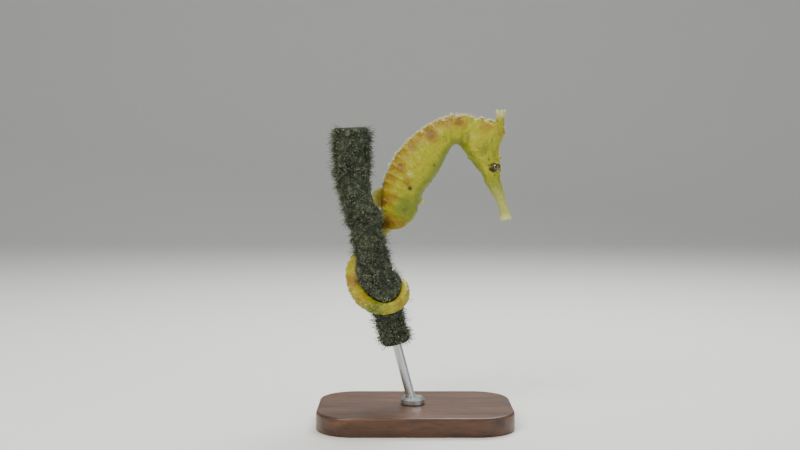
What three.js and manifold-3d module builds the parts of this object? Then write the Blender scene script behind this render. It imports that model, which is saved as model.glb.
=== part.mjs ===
// A yellow estuary seahorse that holds a cut length of stem with its tail, on a small display stand.
// Millimetres, +Z up, origin on the table under the middle of the base. The animal faces +X, its right flank faces -Y.
// The body is one loft along landmarks, from the mouth over the neck to the tip of the tail, parted by thin cuts.

import * as THREE from "three";
import { mergeVertices } from "three/addons/utils/BufferGeometryUtils.js";
import Module from "manifold-3d";

const wasm = await Module();
wasm.setup();

const V = (x, y, z) => new THREE.Vector3(x, y, z);
const rad = THREE.MathUtils.degToRad;
const { lerp, smoothstep } = THREE.MathUtils;

// ---------------------------------------------------------------- driving dimensions, mm

const GAP = 0.3; // between solids that touch on the animal
const FIN_THICKNESS = 0.5;

// Landmarks of the side view, from the mouth to the vent, at [x, z] on the outline.
// back is the upper outline, or the forehead; belly the lower one, or the throat; half is the half width
// across, and y the place of the middle, which goes back towards the tail.
const LANDMARKS = [
  { name: "mouth", back: [34.0, 71.9], belly: [29.6, 71.1], half: 1.9, y: 1.4 },
  { name: "lips", back: [32.5, 75.9], belly: [29.2, 74.8], half: 1.55, y: 1.4 },
  { name: "snout", back: [31.0, 81.4], belly: [26.8, 80.0], half: 1.75, y: 1.4 },
  { name: "snout_rear", back: [29.9, 85.4], belly: [24.3, 83.8], half: 2.2, y: 1.4 },
  { name: "nose", back: [29.6, 87.7], belly: [23.2, 86.8], half: 2.8, y: 1.4 },
  { name: "eyes", back: [29.7, 90.3], belly: [20.9, 89.5], half: 3.4, y: 1.4 },
  { name: "cheek", back: [29.3, 94.1], belly: [18.8, 92.3], half: 4.0, y: 1.5 },
  { name: "gill", back: [29.5, 97.7], belly: [16.9, 95.0], half: 4.3, y: 1.6 },
  { name: "crown", back: [31.0, 103.3], belly: [15.7, 96.6], half: 4.2, y: 1.7 },
  { name: "occiput", back: [26.8, 105.7], belly: [15.0, 97.1], half: 3.9, y: 1.8 },
  { name: "nape", back: [21.6, 106.4], belly: [14.2, 97.3], half: 3.8, y: 1.9 },
  { name: "neck", back: [17.2, 107.3], belly: [13.3, 96.9], half: 3.9, y: 2.0 },
  { name: "ring_1", back: [12.3, 107.3], belly: [12.3, 95.7], half: 4.3, y: 2.2 },
  { name: "ring_3", back: [5.0, 104.3], belly: [10.6, 92.4], half: 4.8, y: 2.5 },
  { name: "ring_5", back: [-1.3, 99.8], belly: [8.4, 88.0], half: 5.2, y: 2.9 },
  { name: "ring_7", back: [-6.4, 94.0], belly: [6.0, 84.3], half: 5.4, y: 3.4 },
  { name: "ring_9", back: [-9.4, 88.3], belly: [3.5, 81.2], half: 5.3, y: 3.9 },
  { name: "vent", back: [-11.7, 82.2], belly: [1.6, 77.0], half: 4.9, y: 4.4 },
  { name: "pouch", back: [-12.2, 77.3], belly: [0.5, 72.4], half: 4.6, y: 5.1 },
  { name: "root", back: [-12.2, 73.4], belly: [-3.7, 68.4], half: 4.1, y: 6.2 },
];
const AT = Object.fromEntries(LANDMARKS.map((mark, place) => [mark.name, place]));

// Behind the stem the tail turns its back outwards: middle, the way its back faces, and its half thickness.
const TAIL_ROOT = [
  { middle: [-11.7, 8.0, 68.3], back: [-0.7, 0.6, 0.4], half: 3.5 },
  { middle: [-15.6, 9.4, 63.6], back: [-0.4, 0.85, 0.3], half: 3.05 },
];

// The perch is a cut length of stem, which leans and thins towards its foot.
const STEM_LINE = [V(-22.3, 0, 103), V(-21.8, 0, 88), V(-18.2, 0, 71), V(-11.9, 0, 48.3), V(-6.5, 0, 28)];
const STEM_RADII = [7.0, 6.5, 6.0, 6.2, 5.2]; // out to the tips of the growth on it
const STEM_SIDES = 14;
const STEM_STEPS = 18;
const STEM_LUMPS = { height: 0.03, round: 3, twist: 9, along: 17 };

// The tail's turn round the stem: a tilted coil, low in front, about a leaning axis.
const COIL = {
  middle: V(-12.1, 0, 48.3),
  lean: 16,
  from: 120, // degrees round the axis: 0 is right, 90 behind, 180 left, 270 in front
  to: 480,
  step: 30,
  pitch: 11.2, // down the axis in a whole turn
  tilt: 7.5, // how far the front hangs under the sides
  clear: 6.1, // from the axis to the side of the tail that grips
  level: 0.65, // of the tilt that is gone at the tip
  levelFrom: 330,
  thick: 2.4,
  tip: 0.35,
  taper: 0.55,
};

const RINGS = { trunk: 11, tail: 36, longest: 3.2, shortest: 1.85 };

// Ridges run along the body: degrees from the middle of the back, to either side, and share of the full height.
const TRUNK_RIDGES = [[34, 1], [84, 0.8], [132, 0.45], [180, 0.2]];
const TAIL_RIDGES = [[42, 1], [138, 0.6]];
const RELIEF = { ring: 0.02, trunkRidge: 0.12, tailRidge: 0.13, spread: 15, between: 0.1 };

const EYE = { at: [27.9, 89.6], radius: 1.65, out: 2.3, sides: 14, rows: 10 };
const CORONET = { foot: [29.5, 102.6], top: [29.8, 109.0], flare: 2.0, waist: 1.45, rim: 1.75, points: 5 };

// Short blunt spines: at a point, along a direction, with a height and a radius. Paired ones lean to both sides.
const PAIRED_SPINES = [
  { name: "brow", at: [29.1, 1.7, 92.9], along: [0.85, 0.4, 0.15], height: 2.1, radius: 0.85 },
  { name: "cheek", at: [19.5, 1.3, 92.9], along: [-0.7, 0.4, -0.5], height: 1.6, radius: 0.8 },
];
const MIDDLE_SPINES = [
  { name: "nose", at: [29.0, 0, 88.6], along: [1, 0, 0.1], height: 1.8, radius: 0.8 },
  { name: "forehead", at: [30.0, 0, 100.2], along: [1, 0, 0.1], height: 1.7, radius: 1.5 },
];
const SPINE = { tip: 0.35, sunk: 0.2, sides: 8 };

// Fins are fans about a hub, from one angle to another, whose edge swells from its ends to its middle.
const DORSAL_FIN = { hub: [-6.0, 78.2], y: 4.6, from: 148, to: 206, inner: 4.6, outer: 7.2, swell: 1.9 };
const ANAL_FIN = { hub: [-1.0, 77.4], y: 4.6, from: -22, to: 36, inner: 0.8, outer: 3.2, swell: 0.8 };
const PECTORAL_FIN = {
  hub: [20.6, 99.9],
  out: 3.1, // from the middle of the neck
  from: 150,
  to: 214,
  inner: 1.2,
  outer: 3.7,
  swell: 0.8,
  lift: 20, // degrees off the flank
};
const FIN_EDGE = { outer: 12, inner: 4 }; // straight steps along the two edges of a fan

const BASE = { length: 68, depth: 46, height: 6.5, corner: 13, edge: 0.8 };
const ROD = { radius: 1.6, sides: 20 };
const COLLAR = { radius: 4.2, height: 2.4, shoulder: 0.4, clear: 0.3, sides: 28 };
const HUGE = 400; // a cutter bigger than the whole model

// ---------------------------------------------------------------- solids

// A manifold-3d solid of a closed three.js geometry.
function solid(geometry) {
  const bare = geometry.clone();
  bare.deleteAttribute("normal");
  bare.deleteAttribute("uv");
  const merged = mergeVertices(bare, 1e-4);
  const mesh = new wasm.Mesh({
    numProp: 3,
    vertProperties: new Float32Array(merged.attributes.position.array),
    triVerts: new Uint32Array(merged.index.array),
  });
  mesh.merge();
  return new wasm.Manifold(mesh);
}

function geometryOf(made) {
  const mesh = made.getMesh();
  const geometry = new THREE.BufferGeometry();
  geometry.setAttribute("position", new THREE.BufferAttribute(mesh.vertProperties.slice(), 3));
  geometry.setIndex(new THREE.BufferAttribute(mesh.triVerts.slice(), 1));
  geometry.computeVertexNormals();
  return geometry;
}

// A closed cylinder whose rows and angles are carried to other places: put(row, angle, share of the radius).
function reshaped(sides, rows, put) {
  const geometry = new THREE.CylinderGeometry(1, 1, 1, sides, rows - 1);
  const at = geometry.attributes.position;
  const from = V(0, 0, 0);
  for (let i = 0; i < at.count; i += 1) {
    from.fromBufferAttribute(at, i);
    const row = Math.round((0.5 - from.y) * (rows - 1));
    const to = put(row, Math.atan2(from.x, from.z), Math.hypot(from.x, from.z));
    at.setXYZ(i, to.x, to.y, to.z);
  }
  return solid(geometry);
}

// ---------------------------------------------------------------- the line of the body

const axisDown = V(Math.sin(rad(COIL.lean)), 0, -Math.cos(rad(COIL.lean)));
const axisRight = V(Math.cos(rad(COIL.lean)), 0, Math.sin(rad(COIL.lean)));
const axisBack = V(0, 1, 0);

// The middle of the tail, its half thickness and the way its back faces, at an angle of the coil.
function coilStation(degrees) {
  const share = (degrees - COIL.from) / (COIL.to - COIL.from);
  const half = COIL.tip + COIL.thick * (1 - share) ** COIL.taper;
  const out = axisRight.clone().multiplyScalar(Math.cos(rad(degrees)));
  out.addScaledVector(axisBack, Math.sin(rad(degrees)));
  const tilt = COIL.tilt * (1 - COIL.level * smoothstep(degrees, COIL.levelFrom, COIL.to));
  const along = (COIL.pitch * (degrees - 270)) / 360 - tilt * Math.sin(rad(degrees));
  const middle = COIL.middle.clone().addScaledVector(axisDown, along).addScaledVector(out, COIL.clear + half);
  return { middle, reach: out.multiplyScalar(half), half };
}

function stations() {
  const made = LANDMARKS.map(({ back, belly, half, y }) => ({
    middle: V((back[0] + belly[0]) / 2, y, (back[1] + belly[1]) / 2),
    reach: V((back[0] - belly[0]) / 2, 0, (back[1] - belly[1]) / 2),
    half,
  }));
  for (const { middle, back, half } of TAIL_ROOT)
    made.push({ middle: V(...middle), reach: V(...back).normalize().multiplyScalar(half), half });
  for (let angle = COIL.from; angle <= COIL.to; angle += COIL.step) made.push(coilStation(angle));
  return made;
}

const BODY = stations();
const LAST = BODY.length - 1;
const through = (points) => new THREE.CatmullRomCurve3(points, false, "catmullrom", 0.5);
const middleLine = through(BODY.map((s) => s.middle));
const reachLine = through(BODY.map((s) => s.reach));
const halfLine = through(BODY.map((s) => V(s.half, 0, 0)));
middleLine.arcLengthDivisions = 1200;

// The frame of the body at a place, counted in landmarks from the mouth.
function frameAt(place) {
  const t = place / LAST;
  const reach = reachLine.getPoint(t);
  const across = reach.clone().cross(middleLine.getTangent(t)).normalize();
  return { middle: middleLine.getPoint(t), reach, across, half: halfLine.getPoint(t).x };
}

// Lengths along the middle line, for the rings of the tail, which shorten evenly towards the tip.
const lengths = middleLine.getLengths();
const lengthTo = (place) => lengths[Math.round((place / LAST) * (lengths.length - 1))];
const placeAt = (length) => middleLine.getUtoTmapping(0, length) * LAST;
const tailLength = lengthTo(LAST) - lengthTo(AT.vent);
const ringSum = (k) => RINGS.longest * k - ((RINGS.longest - RINGS.shortest) * k * k) / (2 * RINGS.tail);
const tailRingPlace = (k) => placeAt(lengthTo(AT.vent) + (tailLength * ringSum(k)) / ringSum(RINGS.tail));

// Places of every crest and hollow: trunk rings stand two to a landmark, and tail rings follow ringSum.
function trunkPlaces(fromRing, toRing) {
  const places = [];
  for (let half = 2 * fromRing; half <= 2 * toRing; half += 1)
    places.push({ at: AT.ring_1 + (half / 2 - 1) / 2, crest: half % 2 ? -1 : 1 });
  return places;
}

function tailPlaces(fromRing, toRing) {
  const places = [];
  for (let half = 2 * fromRing; half <= 2 * toRing; half += 1)
    places.push({ at: Math.min(tailRingPlace(half / 2), LAST), crest: half % 2 ? -1 : 1 });
  return places;
}

function plainPlaces(from, to, count) {
  return Array.from({ length: count }, (_, i) => ({ at: lerp(from, to, i / (count - 1)), crest: 0 }));
}

// ---------------------------------------------------------------- the section of the body

const turnFrom = (angle) => THREE.MathUtils.radToDeg(Math.abs(Math.atan2(Math.sin(angle), Math.cos(angle))));
const bump = (distance, spread) => Math.exp(-((distance / spread) ** 2));

function relief(angle, crest, ridges, height) {
  const ridge = Math.max(...ridges.map(([at, share]) => share * bump(turnFrom(angle) - at, RELIEF.spread)));
  return RELIEF.ring * crest + height * ridge * lerp(RELIEF.between, 1, (1 + crest) / 2);
}

// A point of the body's surface, grown outwards by a margin. Power 2 is an ellipse, and more is squarer.
function surface(place, angle, share, { power = 2, lift = 0, grow = 0 } = {}) {
  const { middle, reach, across, half } = frameAt(place);
  const c = Math.cos(angle);
  const s = Math.sin(angle);
  const round = (Math.abs(c) ** power + Math.abs(s) ** power) ** (-1 / power);
  const k = share * round * (1 + lift);
  const deep = reach.length();
  return middle
    .addScaledVector(reach, (k * c * (deep + grow)) / deep)
    .addScaledVector(across, k * s * (half + grow));
}

// A closed length of the body along places, each with its crest, 1 on a ring and -1 between rings.
function length(places, sides, { ridges = [], height = 0, power = 2, grow = 0 } = {}) {
  return reshaped(sides, places.length, (row, angle, share) => {
    const { at, crest } = places[row];
    const lift = ridges.length ? relief(angle, crest, ridges, height) : 0;
    return surface(at, angle, share, { power, lift, grow });
  });
}

// The places of a length, with each end drawn in by half a gap.
function parted(places) {
  const draw = (a, b) => {
    const step = frameAt(a.at).middle.distanceTo(frameAt(b.at).middle);
    return { at: lerp(a.at, b.at, GAP / 2 / step), crest: lerp(a.crest, b.crest, GAP / 2 / step) };
  };
  const last = places.length - 1;
  return places.map((p, i) => {
    if (i === 0) return draw(p, places[1]);
    if (i === last) return draw(p, places[last - 1]);
    return p;
  });
}

// ---------------------------------------------------------------- head

const headMiddle = LANDMARKS[AT.eyes].y;

function eyeBall(side, margin = 0) {
  const ball = new THREE.SphereGeometry(EYE.radius + margin, EYE.sides, EYE.rows);
  ball.translate(EYE.at[0], headMiddle + side * EYE.out, EYE.at[1]);
  return solid(ball);
}

// A short blunt spine, to one side of the head's middle, or on it.
function spine({ at, along, height, radius }, side) {
  const cone = new THREE.CylinderGeometry(radius * SPINE.tip, radius, height, SPINE.sides, 1);
  const direction = V(along[0], side * along[1], along[2]).normalize();
  cone.translate(0, height * (0.5 - SPINE.sunk), 0);
  cone.applyQuaternion(new THREE.Quaternion().setFromUnitVectors(V(0, 1, 0), direction));
  cone.translate(at[0], headMiddle + side * at[1], at[2]);
  return solid(cone);
}

function headSpines() {
  const paired = PAIRED_SPINES.flatMap((thorn) => [-1, 1].map((side) => spine(thorn, side)));
  return [...paired, ...MIDDLE_SPINES.map((thorn) => spine(thorn, 0))];
}

function coronet() {
  const foot = V(CORONET.foot[0], LANDMARKS[AT.crown].y, CORONET.foot[1]);
  const rise = V(CORONET.top[0], LANDMARKS[AT.crown].y, CORONET.top[1]).sub(foot);
  const tall = rise.length();
  const profile = [
    new THREE.Vector2(0, 0),
    new THREE.Vector2(CORONET.flare, 0),
    new THREE.Vector2(CORONET.waist, tall * 0.6),
    new THREE.Vector2(CORONET.rim, tall * 0.9),
    new THREE.Vector2(CORONET.rim * 0.75, tall),
    new THREE.Vector2(0, tall * 0.82),
  ];
  const crown = new THREE.LatheGeometry(profile, CORONET.points * 4);
  const at = crown.attributes.position;
  for (let i = 0; i < at.count; i += 1) {
    const wave = Math.cos(CORONET.points * Math.atan2(at.getZ(i), at.getX(i)));
    const share = smoothstep(at.getY(i), tall * 0.5, tall * 0.9);
    const wide = 1 + 0.2 * wave * share;
    at.setXYZ(i, at.getX(i) * wide, at.getY(i), at.getZ(i) * wide);
  }
  crown.applyQuaternion(new THREE.Quaternion().setFromUnitVectors(V(0, 1, 0), rise.normalize()));
  crown.translate(foot.x, foot.y, foot.z);
  return solid(crown);
}

// ---------------------------------------------------------------- fins

// A flat fan in the side view.
function fan({ hub, from, to, inner, outer, swell }, y) {
  const shape = new THREE.Shape();
  const point = (share, radius) => {
    const a = rad(lerp(from, to, share));
    return [hub[0] + radius * Math.cos(a), hub[1] + radius * Math.sin(a)];
  };
  shape.moveTo(...point(0, inner));
  for (let i = 0; i <= FIN_EDGE.outer; i += 1) {
    const share = i / FIN_EDGE.outer;
    shape.lineTo(...point(share, outer + swell * Math.sin(Math.PI * share)));
  }
  for (let i = FIN_EDGE.inner; i > 0; i -= 1) shape.lineTo(...point(i / FIN_EDGE.inner, inner));
  shape.closePath();
  const plate = new THREE.ExtrudeGeometry(shape, { depth: FIN_THICKNESS, bevelEnabled: false, curveSegments: 1 });
  plate.translate(0, 0, -FIN_THICKNESS / 2);
  plate.rotateX(Math.PI / 2);
  plate.translate(0, y, 0);
  return plate;
}

// A pectoral fin stands off the flank, hinged on the line of its roots.
function pectoralFin(side) {
  const { hub, out, from, to, lift } = PECTORAL_FIN;
  const plate = fan({ ...PECTORAL_FIN, hub: [0, 0] }, 0);
  const middle = rad((from + to) / 2);
  const hinge = V(-Math.sin(middle), 0, Math.cos(middle));
  plate.applyQuaternion(new THREE.Quaternion().setFromAxisAngle(hinge, side * rad(lift)));
  plate.translate(hub[0], LANDMARKS[AT.nape].y + side * out, hub[1]);
  return solid(plate);
}

// ---------------------------------------------------------------- perch and stand

const stemLine = through(STEM_LINE);
const stemRadius = through(STEM_RADII.map((r) => V(r, 0, 0)));

function perch() {
  return reshaped(STEM_SIDES, STEM_STEPS + 1, (row, angle, share) => {
    const t = row / STEM_STEPS;
    const ahead = V(0, 1, 0);
    const side = stemLine.getTangent(t).cross(ahead).normalize();
    const wave = Math.sin(STEM_LUMPS.round * angle + STEM_LUMPS.twist * t) * Math.sin(STEM_LUMPS.along * t + angle);
    const lumps = 1 + STEM_LUMPS.height * wave;
    const r = share * stemRadius.getPoint(t).x * lumps;
    const out = ahead.multiplyScalar(r * Math.cos(angle)).addScaledVector(side, -r * Math.sin(angle));
    return stemLine.getPoint(t).add(out);
  });
}

const stemFoot = STEM_LINE.at(-1);
const stemEnd = stemLine.getTangent(1).normalize();

// The rod goes on in line with the stem, down to the base.
function rod(margin = 0) {
  const reach = (stemFoot.z - BASE.height) / -stemEnd.z + BASE.height;
  const bar = new THREE.CylinderGeometry(ROD.radius + margin, ROD.radius + margin, reach, ROD.sides, 1);
  bar.translate(0, -reach / 2 - GAP, 0);
  bar.applyQuaternion(new THREE.Quaternion().setFromUnitVectors(V(0, -1, 0), stemEnd));
  bar.translate(stemFoot.x, stemFoot.y, stemFoot.z);
  return solid(bar);
}

function roundedRectangle(length, depth, corner) {
  const [x, y] = [length / 2, depth / 2];
  const shape = new THREE.Shape();
  shape.moveTo(x - corner, -y);
  shape.absarc(x - corner, -y + corner, corner, -Math.PI / 2, 0, false);
  shape.absarc(x - corner, y - corner, corner, 0, Math.PI / 2, false);
  shape.absarc(-x + corner, y - corner, corner, Math.PI / 2, Math.PI, false);
  shape.absarc(-x + corner, -y + corner, corner, Math.PI, 1.5 * Math.PI, false);
  shape.closePath();
  return shape;
}

function base() {
  const { length: long, depth, height, corner, edge } = BASE;
  const shape = roundedRectangle(long - 2 * edge, depth - 2 * edge, corner - edge);
  const block = new THREE.ExtrudeGeometry(shape, {
    depth: height - 2 * edge,
    bevelThickness: edge,
    bevelSize: edge,
    bevelSegments: 1,
    curveSegments: 7,
  });
  block.translate(0, 0, edge);
  return solid(block);
}

function above(level) {
  const block = new THREE.BoxGeometry(HUGE, HUGE, HUGE);
  block.translate(0, 0, HUGE / 2 + level);
  return solid(block);
}

// The point where the rod's line meets the top of the base.
const rodFoot = stemFoot.clone().addScaledVector(stemEnd, (stemFoot.z - BASE.height) / -stemEnd.z);

function collar() {
  const { radius, height, shoulder } = COLLAR;
  const profile = [
    new THREE.Vector2(0, 0),
    new THREE.Vector2(radius, 0),
    new THREE.Vector2(radius, height * (1 - shoulder)),
    new THREE.Vector2(radius - height * shoulder, height),
    new THREE.Vector2(0, height),
  ];
  const ring = new THREE.LatheGeometry(profile, COLLAR.sides);
  ring.rotateX(Math.PI / 2);
  ring.translate(rodFoot.x, rodFoot.y, BASE.height + GAP);
  return solid(ring);
}

// ---------------------------------------------------------------- the group

const MATERIALS = {
  skin: new THREE.MeshStandardMaterial({ color: 0xb8a632, roughness: 0.55, metalness: 0 }),
  fin: new THREE.MeshStandardMaterial({ color: 0xc9c070, roughness: 0.5, metalness: 0 }),
  eye: new THREE.MeshStandardMaterial({ color: 0x6b5318, roughness: 0.1, metalness: 0 }),
  growth: new THREE.MeshStandardMaterial({ color: 0x4a4c38, roughness: 0.95, metalness: 0 }),
  wood: new THREE.MeshStandardMaterial({ color: 0x4b3323, roughness: 0.45, metalness: 0 }),
  steel: new THREE.MeshStandardMaterial({ color: 0xb4b6b8, roughness: 0.3, metalness: 1 }),
};

const group = new THREE.Group();

function add(name, made, material) {
  const mesh = new THREE.Mesh(geometryOf(made), MATERIALS[material]);
  mesh.name = name;
  group.add(mesh);
  return made;
}

const TRUNK_SHAPE = { ridges: TRUNK_RIDGES, height: RELIEF.trunkRidge, power: 2.3 };
const TAIL_SHAPE = { ridges: TAIL_RIDGES, height: RELIEF.tailRidge, power: 2.5 };
const HEAD_SHAPE = { power: 2.1 };
const HEAD_CUT = AT.nape + 0.3;

const headPlaces = plainPlaces(AT.nose, HEAD_CUT, 21);
const snoutPlaces = plainPlaces(0, AT.nose, 13);
const HEAD_SIDES = 26;
const SNOUT_SIDES = 18;

// The lengths of the body: node, places, sides of the section, and shape.
const LENGTHS = [
  ["snout", snoutPlaces, SNOUT_SIDES, HEAD_SHAPE],
  ["neck", [...plainPlaces(HEAD_CUT, AT.neck, 4), ...trunkPlaces(1, 2.5)], 28, TRUNK_SHAPE],
  ["trunk_upper", trunkPlaces(2.5, 6.5), 28, TRUNK_SHAPE],
  ["trunk_lower", trunkPlaces(6.5, RINGS.trunk), 28, TRUNK_SHAPE],
  ["tail_root", tailPlaces(0, 3.5), 20, TAIL_SHAPE],
  ["tail_behind_stem", tailPlaces(3.5, 9.5), 16, TAIL_SHAPE],
  ["tail_left_turn", tailPlaces(9.5, 15.5), 16, TAIL_SHAPE],
  ["tail_front_turn", tailPlaces(15.5, 22.5), 14, TAIL_SHAPE],
  ["tail_right_turn", tailPlaces(22.5, 29.5), 12, TAIL_SHAPE],
  ["tail_tip", tailPlaces(29.5, RINGS.tail), 10, TAIL_SHAPE],
];

// The head with its spines, hollowed for the eyes.
const sockets = [-1, 1].map((side) => eyeBall(side, GAP));
let head = length(parted(headPlaces), HEAD_SIDES, HEAD_SHAPE);
for (const thorn of headSpines()) head = head.add(thorn);
for (const socket of sockets) head = head.subtract(socket);
head = head.subtract(length(parted(snoutPlaces), SNOUT_SIDES, { ...HEAD_SHAPE, grow: GAP }));
add("head", head, "skin");
for (const side of [-1, 1]) add(side < 0 ? "eye_right" : "eye_left", eyeBall(side), "eye");

const headGrown = length(headPlaces, HEAD_SIDES, { ...HEAD_SHAPE, grow: GAP });
add("coronet", coronet().subtract(headGrown), "skin");

const grown = [headGrown];
for (const [name, places, sides, shape] of LENGTHS) {
  let made = length(parted(places), sides, shape);
  if (name === "snout") for (const socket of sockets) made = made.subtract(socket);
  add(name, made, "skin");
  grown.push(length(places, sides, { ...shape, grow: GAP }));
}

// What is left of a piece clear of the whole body.
function clearOfBody(made) {
  let left = made;
  for (const near of grown) left = left.subtract(near);
  return left;
}

add("dorsal_fin", clearOfBody(solid(fan(DORSAL_FIN, DORSAL_FIN.y))), "fin");
add("anal_fin", clearOfBody(solid(fan(ANAL_FIN, ANAL_FIN.y))), "fin");
for (const side of [-1, 1]) {
  const name = side < 0 ? "pectoral_fin_right" : "pectoral_fin_left";
  add(name, clearOfBody(pectoralFin(side)), "fin");
}

add("perch_stem", clearOfBody(perch()).subtract(rod(GAP)), "growth");
add("stand_rod", rod().intersect(above(BASE.height + GAP)), "steel");
add("stand_collar", collar().subtract(rod(COLLAR.clear)), "steel");
add("stand_base", base(), "wood");

export default group;
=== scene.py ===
"""A yellow estuary seahorse holds a cut length of overgrown stem with its tail, on a small display stand.

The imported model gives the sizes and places. The animal faces +X and its right flank faces -Y. Its one skin is
a loft along landmarks, from the mouth to the tip of the tail, with bony rings, ridges and knobs raised on it.
"""

import math

import bmesh
import bpy
import numpy as np
from bpy.props import FloatProperty, FloatVectorProperty, IntProperty, PointerProperty
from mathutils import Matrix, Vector, noise


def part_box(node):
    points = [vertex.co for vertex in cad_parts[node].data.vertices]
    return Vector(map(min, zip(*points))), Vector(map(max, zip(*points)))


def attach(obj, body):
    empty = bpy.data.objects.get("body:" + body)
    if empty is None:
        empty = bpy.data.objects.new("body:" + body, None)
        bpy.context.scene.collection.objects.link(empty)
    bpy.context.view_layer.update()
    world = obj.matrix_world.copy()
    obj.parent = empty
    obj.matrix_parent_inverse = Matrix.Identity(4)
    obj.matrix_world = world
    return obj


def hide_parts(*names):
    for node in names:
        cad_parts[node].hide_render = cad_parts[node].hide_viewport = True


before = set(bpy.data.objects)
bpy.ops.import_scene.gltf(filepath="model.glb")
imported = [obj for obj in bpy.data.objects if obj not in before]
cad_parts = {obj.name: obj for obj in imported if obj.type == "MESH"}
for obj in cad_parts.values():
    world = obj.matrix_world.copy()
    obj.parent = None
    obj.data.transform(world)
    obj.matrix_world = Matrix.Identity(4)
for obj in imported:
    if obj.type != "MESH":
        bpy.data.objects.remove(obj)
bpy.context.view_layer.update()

bl_info = {
    "name": "Seahorse on a stem",
    "version": (1, 0, 0),
    "blender": (4, 5, 0),
    "location": "3D View > Sidebar > Seahorse",
    "description": "Builds a seahorse with its fringe, the stem it holds, its stand and the stage",
    "category": "Add Mesh",
}

MM = 0.001
BODY = "root"

# ---------------- the line of the body, mm

# Back is the upper outline, or the forehead, and belly the lower one, or the throat, both as x, z.
# Half is the half width across, and y the place of the middle.
LANDMARKS = {
    "mouth": ((34.0, 71.9), (29.6, 71.1), 1.9, 1.4),
    "lips": ((32.5, 75.9), (29.2, 74.8), 1.55, 1.4),
    "snout": ((31.0, 81.4), (26.8, 80.0), 1.75, 1.4),
    "snout_rear": ((29.9, 85.4), (24.3, 83.8), 2.2, 1.4),
    "nose": ((29.6, 87.7), (23.2, 86.8), 2.8, 1.4),
    "eyes": ((29.7, 90.3), (20.9, 89.5), 3.4, 1.4),
    "cheek": ((29.3, 94.1), (18.8, 92.3), 4.0, 1.5),
    "gill": ((29.5, 97.7), (16.9, 95.0), 4.3, 1.6),
    "crown": ((31.0, 103.3), (15.7, 96.6), 4.2, 1.7),
    "occiput": ((26.8, 105.7), (15.0, 97.1), 3.9, 1.8),
    "nape": ((21.6, 106.4), (14.2, 97.3), 3.8, 1.9),
    "neck": ((17.2, 107.3), (13.3, 96.9), 3.9, 2.0),
    "ring_1": ((12.3, 107.3), (12.3, 95.7), 4.3, 2.2),
    "ring_3": ((5.0, 104.3), (10.6, 92.4), 4.8, 2.5),
    "ring_5": ((-1.3, 99.8), (8.4, 88.0), 5.2, 2.9),
    "ring_7": ((-6.4, 94.0), (6.0, 84.3), 5.4, 3.4),
    "ring_9": ((-9.4, 88.3), (3.5, 81.2), 5.3, 3.9),
    "vent": ((-11.7, 82.2), (1.6, 77.0), 4.9, 4.4),
    "pouch": ((-12.2, 77.3), (0.5, 72.4), 4.6, 5.1),
    "root": ((-12.2, 73.4), (-3.7, 68.4), 4.1, 6.2),
}
AT = {name: place for place, name in enumerate(LANDMARKS)}
# Behind the stem the tail turns its back outwards: middle, the way its back faces, half thickness.
TAIL_ROOT = (((-11.7, 8.0, 68.3), (-0.7, 0.6, 0.4), 3.5), ((-15.6, 9.4, 63.6), (-0.4, 0.85, 0.3), 3.05))
# The turn round the stem, as degrees round the stem's axis: 0 is right, 90 behind, 180 left, 270 in front.
COIL = {"from": 120, "to": 480, "step": 30, "lean": 16, "pitch": 11.2, "tilt": 7.5, "level": 0.65}
COIL |= {"middle": (-12.1, 0, 48.3), "clear": 6.1, "thick": 2.4, "tip": 0.35, "taper": 0.55}
STEM_LINE = ((-22.3, 0, 103), (-21.8, 0, 88), (-18.2, 0, 71), (-11.9, 0, 48.3), (-6.5, 0, 28))
STEM_RADII = (7.0, 6.5, 6.0, 6.2, 5.2)

TRUNK_RINGS = 11
TAIL_RINGS = 36
TAIL_RING_SPAN = (3.2, 1.85)  # first and last, before they are fitted to the tail's length
# Ridges: degrees from the middle of the back, to either side, and share of the full height.
TRUNK_RIDGES = ((34, 1.0), (84, 0.6), (132, 0.3), (180, 0.25))
TAIL_RIDGES = ((42, 0.8), (138, 0.5))

# The eyes, as x, z, how far each is from the middle of the head, and the eyeball's radius.
EYE = (27.9, 89.6)
EYE_OUT = 2.3
EYE_RADIUS = 1.65
# The lid: its thickness, how much its rim stands out, the angle of its opening from the way the eye looks,
# and how far from the middle of the eye it reaches.
LID = {"thick": 0.28, "rim": 0.14, "opening": 44, "reach": 3.6}
HEAD_MIDDLE = LANDMARKS["eyes"][3]
# Ovals of the side view, as x, z and their radii: the gill cover, and the dark skin round the eye.
GILL_COVER = ((20.9, 97.4), (4.4, 4.2))
EYE_SOCKET = ((27.4, 89.4), (2.3, 1.85))
# The base of the dorsal fin, as x, z, and how far from it the back is bare, and has its full relief.
FIN_BASE = (-10.8, 78.4)
FIN_CLEAR = (3.6, 5.2)

# ---------------- sizes and colours a user would change


def linear(code):
    """An sRGB hex colour as linear red, green, blue and alpha."""
    channels = [int(code[i : i + 2], 16) / 255 for i in (1, 3, 5)]
    return tuple(c / 12.92 if c <= 0.04045 else ((c + 0.055) / 1.055) ** 2.4 for c in channels) + (1.0,)


def length_setting(name, description, millimetres):
    """A length that a user can change, with its value here in mm."""
    return FloatProperty(name=name, description=description, default=millimetres * MM, unit="LENGTH")


def count_setting(name, description, default, least=0):
    """A whole number that a user can change."""
    return IntProperty(name=name, description=description, default=default, min=least)


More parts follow.
